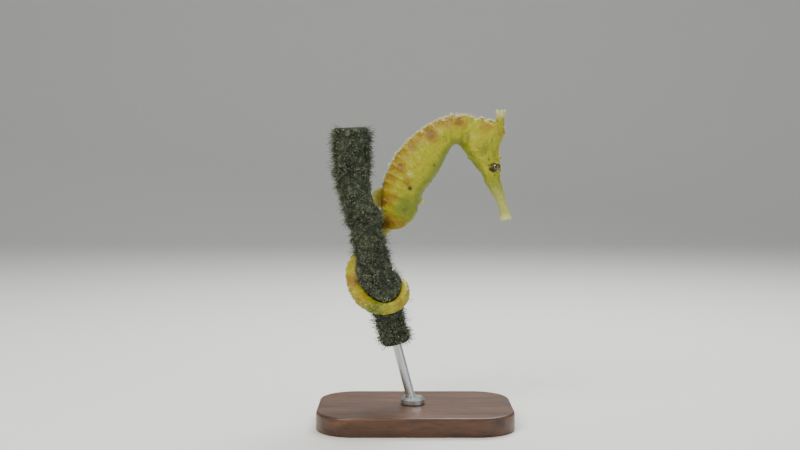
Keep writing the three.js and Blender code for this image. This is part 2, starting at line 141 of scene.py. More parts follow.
class SeahorseSkin(bpy.types.PropertyGroup):
    """Sizes and colours of the animal"""

    row_step: length_setting("Row spacing", "Distance between rows of the skin", 0.25)
    columns: count_setting("Columns", "Columns of the skin round the body", 116, least=24)
    ring_height: length_setting("Ring height", "Height of the bony rings", 0.09)
    knob_height: length_setting("Knob height", "Height of the knobs on the ridges", 0.75)
    sink: length_setting("Sink", "Depth of the skin under the fringe", 0.25)
    fringe_length: length_setting("Fringe length", "Length of the pale filaments", 0.75)
    fringe_count: count_setting("Fringe count", "How many clumps of filaments", 2100)
    papilla_count: count_setting("Papilla count", "How many blunt papillae", 1000)
    yellow: FloatVectorProperty(
        name="Yellow",
        description="Colour of the flanks",
        subtype="COLOR",
        size=3,
        default=linear("#989612")[:3],
    )


class SeahorseStem(bpy.types.PropertyGroup):
    """Sizes of the stem and of what grows on it"""

    turf_depth: length_setting("Turf depth", "How far the turf reaches out of the stem", 1.2)
    tuft_count: count_setting("Tuft count", "How many tufts of turf", 2500)
    fuzz_count: count_setting("Fuzz count", "How many tufts of pale fuzz", 2500)
    grain_count: count_setting("Grain count", "How many grains of silt", 2600)
    thread_count: count_setting("Thread count", "How many long threads", 1300)


class SeahorseStage(bpy.types.PropertyGroup):
    """The camera"""

    distance: length_setting("Distance", "Camera to subject", 389)
    elevation: FloatProperty(
        name="Elevation",
        description="How far the camera looks down",
        subtype="ANGLE",
        default=math.radians(3),
    )
    lens: FloatProperty(name="Lens", description="Focal length in mm", default=50.0)


# ---------------- colours and nodes


def add(tree, kind, links=None, out=0, stops=(), **settings):
    """Adds a node and returns one output; links gives inputs, by name or place, a value or a socket."""
    made = tree.nodes.new(kind if "Node" in kind else "ShaderNode" + kind)
    for key, value in settings.items():
        setattr(made, key, value)
    for key, value in (links or {}).items():
        if isinstance(value, bpy.types.NodeSocket):
            tree.links.new(value, made.inputs[key])
        else:
            made.inputs[key].default_value = value
    if stops:
        elements = made.color_ramp.elements
        elements.remove(elements[-1])
        elements[0].position, elements[0].color = stops[0][0], linear(stops[0][1])
        for position, code in stops[1:]:
            elements.new(position).color = linear(code)
    return made.outputs[out]


def start_material(name, **values):
    """A material with the given values on its shader's own sockets; an underscore stands for a space."""
    material = bpy.data.materials.new(name)
    material.use_nodes = True
    shader = next(n for n in material.node_tree.nodes if n.type == "BSDF_PRINCIPLED")
    for key, value in values.items():
        shader.inputs[key.replace("_", " ")].default_value = value
    return material, material.node_tree, shader


def patterns(tree, *sizes, stretch=(1, 1, 1)):
    """Noise on Object coordinates for each size: its blots in mm, its detail and its distortion."""
    place = add(tree, "TexCoord", out="Object")
    place = add(tree, "Mapping", {"Vector": place, "Scale": stretch})
    made = []
    for size, detail, warp in sizes:
        links = {"Vector": place, "Scale": 1 / (size * MM), "Detail": detail}
        made.append(add(tree, "TexNoise", links | {"Roughness": 0.6, "Distortion": warp}))
    return made


def layered(tree, base, *layers):
    """Lays colours over a base: each has a mask, where it starts and is full, a share and a colour."""
    for mask, low, high, share, colour in layers:
        links = {"Value": mask, "From Min": low, "From Max": high, "To Max": share}
        fade = add(tree, "MapRange", links, interpolation_type="SMOOTHSTEP")
        top = linear(colour) if isinstance(colour, str) else colour
        base = add(tree, "Mix", {0: fade, 6: base, 7: top}, out=2, data_type="RGBA")
    return base


def vary_value(tree, shader, key, mask, low, high, least, most):
    """Lets a value of the shader run from least to most as the mask goes from low to high."""
    links = {"Value": mask, "From Min": low, "From Max": high, "To Min": least, "To Max": most}
    tree.links.new(add(tree, "MapRange", links), shader.inputs[key])


def paint(shader, colour):
    """Links a colour to the shader."""
    shader.id_data.links.new(colour, shader.inputs["Base Color"])


def roughen(tree, shader, *heights):
    """Chains bumps into a shader: each has a height, its distance in mm and its strength."""
    links = {}
    for height, distance, strength in heights:
        links |= {"Height": height, "Distance": distance * MM, "Strength": strength}
        links["Normal"] = add(tree, "Bump", links)
    tree.links.new(links["Normal"], shader.inputs["Normal"])


# ---------------- curves and sections


def spline(points, at):
    """A uniform Catmull-Rom curve through rows of numbers, at places counted in rows."""
    points = np.asarray(points, float)
    padded = np.vstack([2 * points[0] - points[1], points, 2 * points[-1] - points[-2]])
    row = np.clip(np.floor(at).astype(int), 0, len(points) - 2)
    w = (np.asarray(at) - row)[:, None]
    a, b, c, d = (padded[row + i] for i in range(4))
    return b + 0.5 * w * ((c - a) + w * ((2 * a - 5 * b + 4 * c - d) + w * (3 * (b - c) + d - a)))


def unit(rows):
    """Rows of numbers scaled to length 1."""
    return rows / np.maximum(np.linalg.norm(rows, axis=-1, keepdims=True), 1e-12)


def smooth(value, low, high):
    """Rises smoothly from 0 at low to 1 at high."""
    t = np.clip((value - low) / (high - low), 0, 1)
    return t * t * (3 - 2 * t)


def fall(value, low, high):
    """Falls smoothly from 1 at low to 0 at high."""
    return 1 - smooth(value, low, high)


def window(value, start, full, fade, gone):
    """Rises from 0 at start to 1 at full, and falls from 1 at fade to 0 at gone."""
    return smooth(value, start, full) * fall(value, fade, gone)


def bell(distance, spread):
    """1 at distance 0, and falls off to both sides."""
    return np.exp(-((distance / spread) ** 2))


def full_turn(count):
    """Angles round a full circle, in radians."""
    return np.linspace(0, 2 * math.pi, count, endpoint=False)


def coil_station(degrees):
    """The middle of the tail, the reach of its back and its half thickness, at an angle of the turn."""
    share = (degrees - COIL["from"]) / (COIL["to"] - COIL["from"])
    half = COIL["tip"] + COIL["thick"] * (1 - share) ** COIL["taper"]
    turn, lean = math.radians(degrees), math.radians(COIL["lean"])
    down = np.array((math.sin(lean), 0, -math.cos(lean)))
    right = np.array((math.cos(lean), 0, math.sin(lean)))
    out = right * math.cos(turn) + np.array((0, 1, 0)) * math.sin(turn)
    tilt = COIL["tilt"] * (1 - COIL["level"] * smooth(degrees, 330, COIL["to"]))
    along = COIL["pitch"] * (degrees - 270) / 360 - tilt * math.sin(turn)
    return np.array(COIL["middle"]) + down * along + out * (COIL["clear"] + half), out * half, half


def body_stations():
    """Middle, reach of the back and half width of each station, from the mouth to the tip of the tail."""
    rows = []
    for back, belly, half, y in LANDMARKS.values():
        back, belly = np.array((back[0], y, back[1])), np.array((belly[0], y, belly[1]))
        rows.append(((back + belly) / 2, (back - belly) / 2, half))
    rows += [(np.array(m), unit(np.array(back)) * half, half) for m, back, half in TAIL_ROOT]
    rows += [coil_station(a) for a in range(COIL["from"], COIL["to"] + 1, COIL["step"])]
    return np.array([[*m, *r, h] for m, r, h in rows])


STATIONS = body_stations()
LAST = len(STATIONS) - 1


class Line:
    """The frame of the body at places counted in landmarks from the mouth."""

    def __init__(self, at):
        self.at = np.asarray(at, float)
        rows = spline(STATIONS, self.at)
        ahead = spline(STATIONS, np.minimum(self.at + 0.01, LAST))[:, :3]
        behind = spline(STATIONS, np.maximum(self.at - 0.01, 0))[:, :3]
        self.middle, self.reach, self.half = rows[:, :3], rows[:, 3:6], rows[:, 6]
        self.deep = np.linalg.norm(self.reach, axis=1)
        self.along = unit(ahead - behind)
        self.across = unit(np.cross(self.reach, self.along))


def ring_numbers(at):
    """The ring that each place stands at: 1 to 11 on the trunk, and on to 47 down the tail."""
    fine = np.linspace(0, LAST, 6001)
    middle = spline(STATIONS, fine)[:, :3]
    length = np.concatenate([[0], np.cumsum(np.linalg.norm(np.diff(middle, axis=0), axis=1))])
    vent = np.interp(AT["vent"], fine, length)
    count = np.arange(TAIL_RINGS + 1)
    first, last = TAIL_RING_SPAN
    sums = first * count - (first - last) * count**2 / (2 * TAIL_RINGS)
    ends = vent + sums / sums[-1] * (length[-1] - vent)
    tail = TRUNK_RINGS + np.interp(np.interp(at, fine, length), ends, count)
    trunk = 1 + 2 * (at - AT["ring_1"])
    return np.where(at <= AT["vent"], trunk, tail), np.interp(at, fine, length)


def even_places(step):
    """Places a step apart on the outer side of the body's bends, and closer together near the eyes."""
    fine = Line(np.linspace(0, LAST, 5001))
    sides = [fine.middle, fine.middle + fine.reach, fine.middle - fine.reach]
    moves = np.max([np.linalg.norm(np.diff(s, axis=0), axis=1) for s in sides], axis=0)
    near = np.linalg.norm((fine.middle + fine.reach * 0.55)[1:, [0, 2]] - EYE, axis=1)
    moves = moves * (1 + 1.2 * bell(near, 3.0))
    length = np.concatenate([[0], np.cumsum(moves)])
    return np.interp(np.arange(0, length[-1], step), length, fine.at)


# ---------------- relief of the skin, mm

# Blunt spines and lumps of the head and neck: x, how far from the middle, z, height, spread.
LUMPS = (
    (29.4, 1.5, 92.9, 1.25, 0.72),  # over the eye
    (29.8, 0.0, 88.4, 0.75, 0.7),  # on the nose
    (29.7, 0.7, 86.4, 0.3, 0.6),
    (30.2, 0.0, 100.2, 1.0, 1.5),  # on the forehead
    (29.9, 1.2, 98.6, 0.4, 0.7),
    (19.0, 1.4, 92.7, 0.9, 0.7),  # on the cheek
    (17.0, 1.8, 95.3, 0.5, 0.7),
    (21.4, 1.0, 90.0, 0.45, 0.6),  # under the cheek
    (22.3, 1.9, 105.9, 0.5, 1.0),  # behind the crown
    (17.9, 1.5, 106.9, 1.0, 1.1),  # on the neck
    (19.9, 1.3, 106.5, 0.5, 0.6),
    (15.6, 1.5, 107.3, 0.6, 0.6),
    (25.0, 3.2, 93.6, 0.25, 1.4),  # between the eye and the gill cover
)


def grain(points, size, seed):
    """Smooth noise from -1 to 1 with blots of a size, in mm."""
    shift = Vector((seed * 7.3, seed * 3.1, seed * 5.7))
    return np.array([noise.noise(Vector(p) / size + shift) for p in points])


def off_fin(points):
    """0 on the base of the dorsal fin, where the back has no tubercles, and 1 away from it."""
    return smooth(np.linalg.norm(points[:, [0, 2]] - FIN_BASE, axis=1), *FIN_CLEAR)


def oval(flat, place):
    """How far each point of the side view is from the middle of an oval, where 1 is its edge."""
    middle, radii = place
    return np.linalg.norm((flat - middle) / radii, axis=1)


def eye_centre(side):
    """The middle of an eyeball: side is -1 for the right eye and 1 for the left."""
    return np.array((EYE[0], HEAD_MIDDLE + side * EYE_OUT, EYE[1]))


def rings_and_ridges(ring, degrees, sizes):
    """Height of the bony rings, of the ridges along the body, and of the knobs where they cross."""
    phase = np.abs(ring - np.round(ring))
    plated = smooth(ring, 0.2, 1.0)
    tail = smooth(ring, TRUNK_RINGS - 0.5, TRUNK_RINGS + 1.5)
    stages = (0, TRUNK_RINGS, TRUNK_RINGS + 8, TRUNK_RINGS + TAIL_RINGS)
    small = np.interp(ring, stages, (1, 0.9, 0.6, 0.08))
    knobs, ridges = 0, 0
    for set_share, group in ((1 - tail, TRUNK_RIDGES), (tail, TAIL_RIDGES)):
        for angle, share in group:
            off = degrees - angle
            knobs = np.maximum(knobs, set_share * share * bell(off, 11) * bell(phase, 0.19))
            ridges = np.maximum(ridges, set_share * share * bell(off, 8))
    # Every second knob of the upper rows stands higher.
    tall = 0.7 + 0.4 * np.cos(math.pi * (ring + 0.2) / 2) ** 2 * (degrees < 60)
    band = bell(phase, 0.17) - 0.35 * smooth(phase, 0.2, 0.5)
    rise = sizes.ring_height / MM * band * (1 - 0.3 * smooth(degrees, 100, 160))
    rise = rise + 0.15 * ridges + sizes.knob_height / MM * knobs * tall
    return plated * small * rise, plated * knobs


def head_relief(points, at, degrees):
    """Lumps, the gill cover and the ridges of the head and snout."""
    rise = np.zeros(len(points))
    for x, out, z, height, spread in LUMPS:
        for side in (-1, 1) if out else (0,):
            spot = np.array((x, HEAD_MIDDLE + 0.2 + side * out, z))
            rise += height * bell(np.linalg.norm(points - spot, axis=1), spread)
    flat, x, z = points[:, [0, 2]], points[:, 0], points[:, 2]
    side = window(degrees, 25, 55, 135, 165)
    cover = oval(flat, GILL_COVER)
    rise += side * (0.5 * fall(cover, 0.5, 1.0) - 0.3 * bell(cover - 1.1, 0.12))
    ribs = np.arctan2(z - 95.2, x - 25.4)
    rise += 0.07 * side * np.cos(ribs * 22) * bell(cover - 0.55, 0.35)
    # A low bony ridge runs from the eye up to the crown, and one from the eye back over the gill cover.
    off = x - (27.4 - 1.6 * np.sin(math.pi * np.clip((z - 91.5) / 11.0, 0, 1)))
    rise += 0.42 * side * bell(off, 0.6) * window(z, 91.5, 93.5, 100.5, 103)
    off = z - (90.7 + 2.6 * np.clip((26.0 - x) / 5.5, 0, 1))
    rise += 0.3 * side * bell(off, 0.5) * window(x, 19.5, 21.5, 25.2, 26.4)
    # Low ridges along the snout, and the swollen rim of the lips.
    on_snout = window(at, 0.6, 2.2, AT["nose"] - 0.2, AT["eyes"])
    rise += 0.18 * on_snout * (bell(degrees - 58, 10) + bell(degrees - 122, 10))
    rise += 0.12 * bell(at - 0.45, 0.25)
    return rise * fall(at, AT["ring_1"] - 0.4, AT["ring_1"] + 0.3)


def eye_hollow(points):
    """Pushes the skin out round each eyeball, into a lid with a round opening, and in under the eye."""
    for side in (-1, 1):
        centre = eye_centre(side)
        away = points - centre
        far = np.linalg.norm(away, axis=1)
        look = unit(np.array((0.12, side, 0.05)))
        facing = np.degrees(np.arccos(np.clip(unit(away) @ look, -1, 1)))
        opening, inside = LID["opening"], facing < LID["opening"]
        ball = EYE_RADIUS + LID["thick"] + LID["rim"] * bell(facing - opening - 6, 7)
        ball = np.where(facing > 95, 0.0, ball * (1 - 0.35 * smooth(facing, 75, 95)))
        ball = np.where(inside, EYE_RADIUS - 0.35 * smooth(opening - facing, 0, 5), ball)
        # A soft maximum of the skin as it was and the lid.
        grown = (far**7 + ball**7) ** (1 / 7)
        target = np.where(inside, np.minimum(grown, ball), grown)
        near = far < LID["reach"]
        points = np.where(near[:, None], centre + unit(away) * target[:, None], points)
    return points


def skin_rows(sizes):
    """The points of the skin, row by row, with what the markings are made from."""
    places = even_places(sizes.row_step / MM)
    line = Line(places)
    columns = sizes.columns
    turn = full_turn(columns)
    degrees = np.degrees(np.abs(np.arctan2(np.sin(turn), np.cos(turn))))
    ring, length = ring_numbers(places)
    power = np.interp(ring, (-1, 2, TRUNK_RINGS, TRUNK_RINGS + 4), (2.1, 2.3, 2.3, 2.5))[:, None]
    c, s = np.cos(turn)[None], np.sin(turn)[None]
    round_share = (np.abs(c) ** power + np.abs(s) ** power) ** (-1 / power)
    reach, across = line.reach[:, None], line.across[:, None]
    points = line.middle[:, None] + reach * (round_share * c)[..., None]
    points = points + across * (line.half[:, None] * round_share * s)[..., None]
    out = unit(reach / line.deep[:, None, None] * (c * line.half[:, None])[..., None]
               + across * (s * line.deep[:, None])[..., None])
    flat = {"points": points.reshape(-1, 3), "out": out.reshape(-1, 3)}
    rows = {"at": places, "ring": ring, "length": length, "thick": line.half}
    flat |= {key: np.repeat(values, columns) for key, values in rows.items()}
    round_body = {"degrees": degrees, "side": np.sign(np.sin(turn))}
    flat |= {key: np.tile(values, len(places)) for key, values in round_body.items()}
    return flat, (len(places), columns), line


def raise_skin(flat, sizes):
    """Raises rings, ridges, knobs and wrinkles on the bare loft, and keeps where the knobs stand."""
    points, degrees = flat["points"], flat["degrees"]
    rise, knobs = rings_and_ridges(flat["ring"], degrees, sizes)
    rise = rise + head_relief(points, flat["at"], degrees)
    back = fall(degrees, 24, 58) * smooth(flat["at"], AT["eyes"], AT["crown"])
    bumpy = smooth(grain(points, 0.62, 12), 0.12, 0.5) * smooth(flat["at"], AT["snout_rear"], AT["cheek"])
    bumpy = bumpy * (0.12 + 0.88 * back) * off_fin(points)
    thin = np.clip(flat["thick"] / 3.5, 0.1, 1)
    wrinkle = 0.11 * grain(points, 1.3, 1) + 0.06 * grain(points, 0.5, 2) + 0.4 * bumpy
    rise = rise + wrinkle * thin - sizes.sink / MM * smooth(flat["thick"], 0.5, 3)
    flat["points"] = eye_hollow(points + flat["out"] * rise[:, None])
    flat["knobs"] = np.maximum(knobs, 0.8 * bumpy * back)


def grid_faces(rows, columns, offset=0, closed=True):
    """Quads of a grid of points, closed round each row or not."""
    steps = np.arange(rows - 1), np.arange(columns if closed else columns - 1)
    row, column = np.meshgrid(*steps, indexing="ij")
    low, high, beside = row * columns, (row + 1) * columns, (column + 1) % columns
    corners = (low + column, low + beside, high + beside, high + column)
    return np.stack(corners, -1).reshape(-1, 4) + offset


def capped_grid(rows, columns):
    """Faces of a closed grid, and then one over each end."""
    ends = [list(range(columns)), list(range((rows - 1) * columns, rows * columns))]
    return grid_faces(rows, columns).tolist() + ends


# ---------------- meshes


def link_object(name, data):
    """A new object in the scene that holds the data."""
    made = bpy.data.objects.new(name, data)
    bpy.context.scene.collection.objects.link(made)
    return made


def mesh_object(name, points, faces, attributes=None):
    """A smooth mesh object at the origin, faces outwards, from points in mm and a number a point per key."""
    mesh = bpy.data.meshes.new(name)
    mesh.from_pydata((np.asarray(points) * MM).tolist(), [], [tuple(f) for f in faces])
    for key, values in (attributes or {}).items():
        mesh.attributes.new(key, "FLOAT", "POINT").data.foreach_set("value", np.asarray(values, np.float32))
    work = bmesh.new()
    work.from_mesh(mesh)
    bmesh.ops.recalc_face_normals(work, faces=work.faces)
    work.to_mesh(mesh)
    work.free()
    mesh.polygons.foreach_set("use_smooth", [True] * len(mesh.polygons))
    return link_object(name, mesh)


def finish_piece(piece, material, slot, *nodes):
    """Gives a piece its material, and lets it ride in place of the CAD nodes; its slot is not used."""
    if material is not None:
        piece.data.materials.clear()
        piece.data.materials.append(material)
    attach(piece, BODY)
    if nodes:
        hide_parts(*nodes)


class Shell:
    """A mesh that grows by rows of points, with marks for each point."""

    def __init__(self, keys):
        self.points, self.faces = [], []
        self.marks = {key: [] for key in keys}
        self.count = 0

    def grid(self, rows, columns, points, **marks):
        """Adds a closed grid and returns the place of its first point."""
        first = self.count
        self.faces += grid_faces(rows, columns, first).tolist()
        self.rows(points, **marks)
        return first

    def rows(self, points, **marks):
        """Adds points alone, with a mark of 0 for each key that isn't given."""
        self.points.append(points)
        self.count += len(points)
        for key, kept in self.marks.items():
            kept.append(np.broadcast_to(marks.get(key, 0.0), len(points)))

    def close(self, first, rows, marks):
        """Closes an end: goes on from the row at first through rows of as many points, and fills the last."""
        columns = len(rows[0])
        before = np.arange(first, first + columns)
        for row, values in zip(rows, marks):
            here = np.arange(self.count, self.count + columns)
            self.faces += np.stack([before, np.roll(before, -1), np.roll(here, -1), here], 1).tolist()
            self.rows(row, **values)
            before = here
        self.faces.append(before.tolist())

    def object(self, name):
        """The mesh object of all that was added."""
        marks = {key: np.concatenate(values) for key, values in self.marks.items()}
        return mesh_object(name, np.concatenate(self.points), self.faces, marks)


# ---------------- markings, shared by skin and fringe

# Orange and brown blotches of both flanks: x, z, radius, strength.
BLOTCHES = (
    (29.6, 101.4, 1.7, 0.5),  # forehead
    (24.6, 103.7, 3.0, 0.6),  # nape
    (15.3, 105.0, 2.6, 1.0),
    (11.0, 105.0, 2.4, 0.75),
    (5.2, 100.9, 2.9, 1.05),
    (1.0, 98.6, 2.0, 0.7),
    (-1.2, 96.4, 2.0, 0.85),
    (-5.0, 89.2, 2.4, 0.95),
    (-7.4, 85.6, 2.0, 0.7),
    (-3.0, 84.4, 1.8, 0.75),
    (-10.9, 78.2, 3.0, 1.1),
    (-7.4, 79.2, 2.2, 0.6),
    (-9.4, 70.0, 3.4, 1.05),
    (-5.6, 69.6, 2.4, 0.6),
    (-21.6, 50.0, 3.2, 0.85),
    (-19.4, 44.6, 2.6, 0.6),
    (-11.4, 42.4, 2.0, 0.35),
)
# Dark dots: x, z, radius, strength.
DOTS = (
    (9.8, 100.1, 0.4, 0.7),
    (6.6, 90.2, 0.42, 0.9),
    (8.1, 93.6, 0.3, 0.8),
    (2.1, 90.7, 0.3, 0.6),
    (1.8, 95.6, 0.28, 0.6),
    (-0.4, 87.1, 0.32, 0.6),
    (-1.8, 82.2, 1.0, 0.85),
    (-4.6, 90.4, 0.5, 0.6),
    (5.9, 101.9, 0.5, 0.5),
    (20.8, 100.8, 0.3, 0.5),
    (-5.2, 78.6, 0.35, 0.6),
    (25.3, 92.1, 0.35, 0.8),
    (26.4, 88.4, 0.6, 0.85),
    (27.6, 86.8, 0.38, 0.85),
    (25.5, 90.1, 0.7, 0.6),
)
# Paler grey patches: x, z, radius, strength.
CLOUDS = (
    (8.3, 101.9, 1.3, 0.45),
    (12.6, 102.6, 1.2, 0.3),
    (1.2, 93.2, 1.6, 0.45),
    (-1.8, 87.0, 1.9, 0.5),
    (-7.4, 81.6, 1.4, 0.4),
    (20.4, 99.6, 1.9, 0.3),
)
# Darker olive patches: x, z, radius, strength. Those on the lower trunk and the bottom of the tail are partly
# painted shade, darker as if less light reaches there.
OLIVE_AND_SHADE_PATCHES = (
    # The lower trunk and pouch: olive, and painted shade.
    (-3.2, 75.0, 6.4, 0.88),
    (24.6, 95.0, 4.5, 0.55),
    (11.0, 99.0, 2.6, 0.35),
    (-2.8, 84.0, 3.4, 0.5),
    # The bottom of the tail: olive, and painted shade.
    (-14.0, 41.6, 4.4, 1.0),
    (-7.0, 43.6, 2.6, 0.4),
)


def spots(flat, table):
    """The strongest of a table of soft round spots at each point of the side view."""
    share = np.zeros(len(flat))
    for x, z, radius, strength in table:
        share = np.maximum(share, strength * bell(np.linalg.norm(flat - (x, z), axis=1), radius))
    return share


def markings(points, ring, degrees, knobs, at):
    """How warm, dark, pale and green the skin is at each point, from 0 to 1; pale holds painted light, green
    painted shade.
    """
    uneven, fine = grain(points, 2.6, 5), grain(points, 0.8, 6)
    flat = points[:, [0, 2]]
    fray = np.stack([grain(points, 1.5, 7), grain(points, 1.5, 8)], 1) * 1.1
    flank = window(degrees, 3, 22, 125, 155)
    tail = smooth(ring, TRUNK_RINGS, TRUNK_RINGS + 4)
    warm = 0.55 * fall(degrees + 14 * uneven, 30, 100) * smooth(ring, -5, 1) * (1 - tail)
    warm = np.maximum(warm, tail * (0.3 + 0.12 * np.cos(ring * 0.9) + 0.2 * uneven))
    warm = np.maximum(warm, spots(flat + fray, BLOTCHES) * (0.6 + 0.4 * flank))
    socket = fall(oval(flat + fray * 0.4, EYE_SOCKET), 0.72, 1.12)
    dark = np.maximum(spots(flat + fray * 0.25, DOTS) * flank, socket * (0.8 + 0.7 * fine))
    crest = fall(degrees, 6, 24) * smooth(ring, -4, 0.5) * (1 - 0.6 * tail) * off_fin(points)
    quiet = 1 - (1 - tail) * (0.4 + 0.3 * smooth(degrees, 20, 60))
    front = fall(degrees, 8, 34) * smooth(at, AT["nose"], AT["eyes"]) * fall(ring, -3, 0.5)
    throat = smooth(degrees, 158, 176) * smooth(at, AT["snout"], AT["nose"]) * fall(ring, 4, 7)
    pales = [
        0.85 * knobs * (0.75 + 0.4 * fine) * quiet,
        crest * (0.35 + 0.65 * knobs + 0.3 * fine),
        # The snout grows paler towards its tip: partly its own tone, and partly painted light, as if lit from
        # above.
        0.7 * fall(at, 0.05, 1.4),
        0.5 * fall(at, 1.0, 5.2),
        0.6 * front * (0.7 + 0.5 * fine),
        0.5 * throat * (0.8 + 0.4 * fine),
        spots(flat + fray, CLOUDS) * flank,
    ]
    greens = [
        0.75 * smooth(degrees, 95, 150) * (1 - 0.6 * tail),
        0.55 * fall(at, AT["snout_rear"], AT["eyes"]),
        # Olive patches, partly painted shade low on the trunk and the tail.
        spots(flat + fray, OLIVE_AND_SHADE_PATCHES),
    ]
    named = {
        "warm": warm + 0.16 * fine + 0.1 * uneven,
        "dark": dark,
        "pale": np.maximum.reduce(pales),
        "green": np.maximum.reduce(greens) + 0.2 * uneven,
    }
    return {key: np.clip(values, 0, 1) for key, values in named.items()}


# How far red, green and blue light travel in the yellow flesh, as shares of the full distance.
GLOW = (0.75, 0.7, 0.15)


def skin_colour(tree, yellow):
    """The colour of skin and fringe, from the markings kept on the mesh and noise on Object coordinates."""
    warm, dark, pale, green = (add(tree, "Attribute", out="Fac", attribute_name=key) for key in MARKS)
    mottle, pepper, flecks = patterns(tree, (1.0, 4, 0.4), (0.34, 2, 0), (0.6, 3, 0.6))
    frayed = add(tree, "Math", {0: mottle, 1: 0.8, 2: warm}, operation="MULTIPLY_ADD")
    light = add(tree, "Math", {0: pepper, 1: 0.7, 2: pale}, operation="MULTIPLY_ADD")
    return layered(
        tree,
        (*yellow, 1),
        (mottle, 0.5, 0.3, 0.6, "#6c6b0a"),
        (mottle, 0.5, 0.75, 0.6, "#b3a91f"),
        (green, 0.1, 0.9, 0.8, "#576a10"),
        # Painted shade: the darkest olive, where the green mask is near full, chiefly low on the trunk and the
        # bottom of the tail.
        (green, 0.8, 1.0, 0.6, "#39440b"),
        (frayed, 0.55, 1.05, 0.85, "#89680c"),
        (frayed, 1.0, 1.45, 0.65, "#563f0a"),
        (pepper, 0.62, 0.72, 0.45, "#4d400c"),
        (flecks, 0.62, 0.74, 0.5, "#d6cf7c"),
        # Pale marks. On the snout they are partly painted light.
        (light, 0.6, 1.25, 0.85, "#d3d293"),
        (dark, 0.15, 0.8, 0.94, "#1f1806"),
    )


def flesh(name, weight, depth, **values):
    """A material that light passes into: how much of it, and how deep in mm."""
    glow = {"Subsurface_Weight": weight, "Subsurface_Radius": GLOW, "Subsurface_Scale": depth * MM}
    return start_material(name, **glow, **values)


def skin_material(yellow):
    """Moist scaleless fish skin stretched over bony rings: satin, granular, a little light passes into it."""
    material, tree, shader = flesh("moist skin over bony rings", 0.12, 0.8, IOR=1.38)
    paint(shader, skin_colour(tree, yellow))
    # Pores of the skin are about 0.2 mm apart, drawn at 0.3 so that they show, and creases 0.8 mm.
    wet, creases, pores = patterns(tree, (0.9, 3, 0), (0.8, 3, 1.0), (0.3, 3, 0))
    vary_value(tree, shader, "Roughness", wet, 0.3, 0.7, 0.36, 0.56)
    roughen(tree, shader, (creases, 0.16, 0.7), (pores, 0.09, 0.8))
    return material


def fringe_material(name, yellow, share):
    """Fine outgrowths of the skin: dry looking, paler towards their tips than the skin they grow from."""
    material, tree, shader = flesh(name, 0.2, 0.4, Roughness=0.65)
    tip = add(tree, "Attribute", out="Fac", attribute_name="tip")
    colour = layered(tree, skin_colour(tree, yellow), (tip, 0.05, 0.85, share, "#d3d190"))
    paint(shader, colour)
    return material


# ---------------- tufts scattered over roots

PATCH = 0.003  # width of a tuft's patch on the map OFBake


def blade(length, width, bend=0.0, curl=0.0, segments=2, sides=3, turn=0.0, lean=0.0, away=0.0, blunt=0.25):
    """A tapered filament along +Z that leans, bends and curls, as points and faces."""
    points, faces = [], []
    for i in range(segments + 1):
        t = i / segments
        middle = (away + lean * t + bend * t * t, curl * math.sin(2.6 * t), length * t)
        r = width / 2 * (1 - (1 - blunt) * t) * (i < segments)
        ring = [2 * math.pi * k / sides for k in range(sides)] if i < segments else [0.0]
        points += [(middle[0] + r * math.cos(a), middle[1] + r * math.sin(a), middle[2]) for a in ring]
    for i in range(segments - 1):
        for k in range(sides):
            low, high = sides * i, sides * i + sides
            faces.append((low + k, low + (k + 1) % sides, high + (k + 1) % sides, high + k))
    last = sides * (segments - 1)
    faces += [(last + k, last + (k + 1) % sides, sides * segments) for k in range(sides)]
    cos, sin = math.cos(turn), math.sin(turn)
    return [(x * cos - y * sin, x * sin + y * cos, z) for x, y, z in points], faces


def clump(count, width, seed, wild, **settings):
    """Blades that spread out of one root, each a bit different; wild is how far they stray."""
    rng = np.random.default_rng(seed)
    blades = []
    for i in range(count):
        made = {"length": rng.uniform(0.55, 1.0), "width": width}
        made["turn"] = 2 * math.pi * (i + rng.uniform()) / count
        made["lean"] = wild * rng.uniform(0.0, 1.0)
        made["bend"] = wild * rng.uniform(-0.6, 0.9)
        made["curl"] = wild * rng.uniform(-0.5, 0.5)
        made["away"] = rng.uniform(0, 0.15)
        blades.append(settings | made)
    return blades


def tuft_object(name, blades):
    """One tuft about a unit long."""
    points, faces = [], []
    for settings in blades:
        more, corners = blade(**settings)
        faces += [tuple(i + len(points) for i in face) for face in corners]
        points += more
    mesh = bpy.data.meshes.new(name)
    mesh.from_pydata(points, [], faces)
    return patched(mesh)


def lump_object(name, seed):
    """A rough grain of silt about a unit across."""
    work = bmesh.new()
    bmesh.ops.create_icosphere(work, subdivisions=1, radius=0.5)
    for vertex in work.verts:
        vertex.co *= 1 + 0.45 * noise.noise(vertex.co * 2.2 + Vector((seed, 0, 0)))
        vertex.co.z *= 0.75
    mesh = bpy.data.meshes.new(name)
    work.to_mesh(mesh)
    work.free()
    return patched(mesh)


def patched(mesh):
    """The object of a tuft, with its OFBake patch and how near each point is to the tip."""
    points = np.array([v.co for v in mesh.vertices])
    reach = np.abs(points[:, 0]).max() + 1e-6
    patch = mesh.uv_layers.new(name="OFBake")
    for loop in mesh.loops:
        x, _, z = points[loop.vertex_index]
        patch.uv[loop.index].vector = (PATCH / 2 * x / reach, PATCH * (np.clip(z, 0, 1) - 0.5))
    mesh.attributes.new("tip", "FLOAT", "POINT").data.foreach_set("value", np.clip(points[:, 2], 0, 1))
    mesh.polygons.foreach_set("use_smooth", [True] * len(mesh.polygons))
    return link_object(mesh.name, mesh)


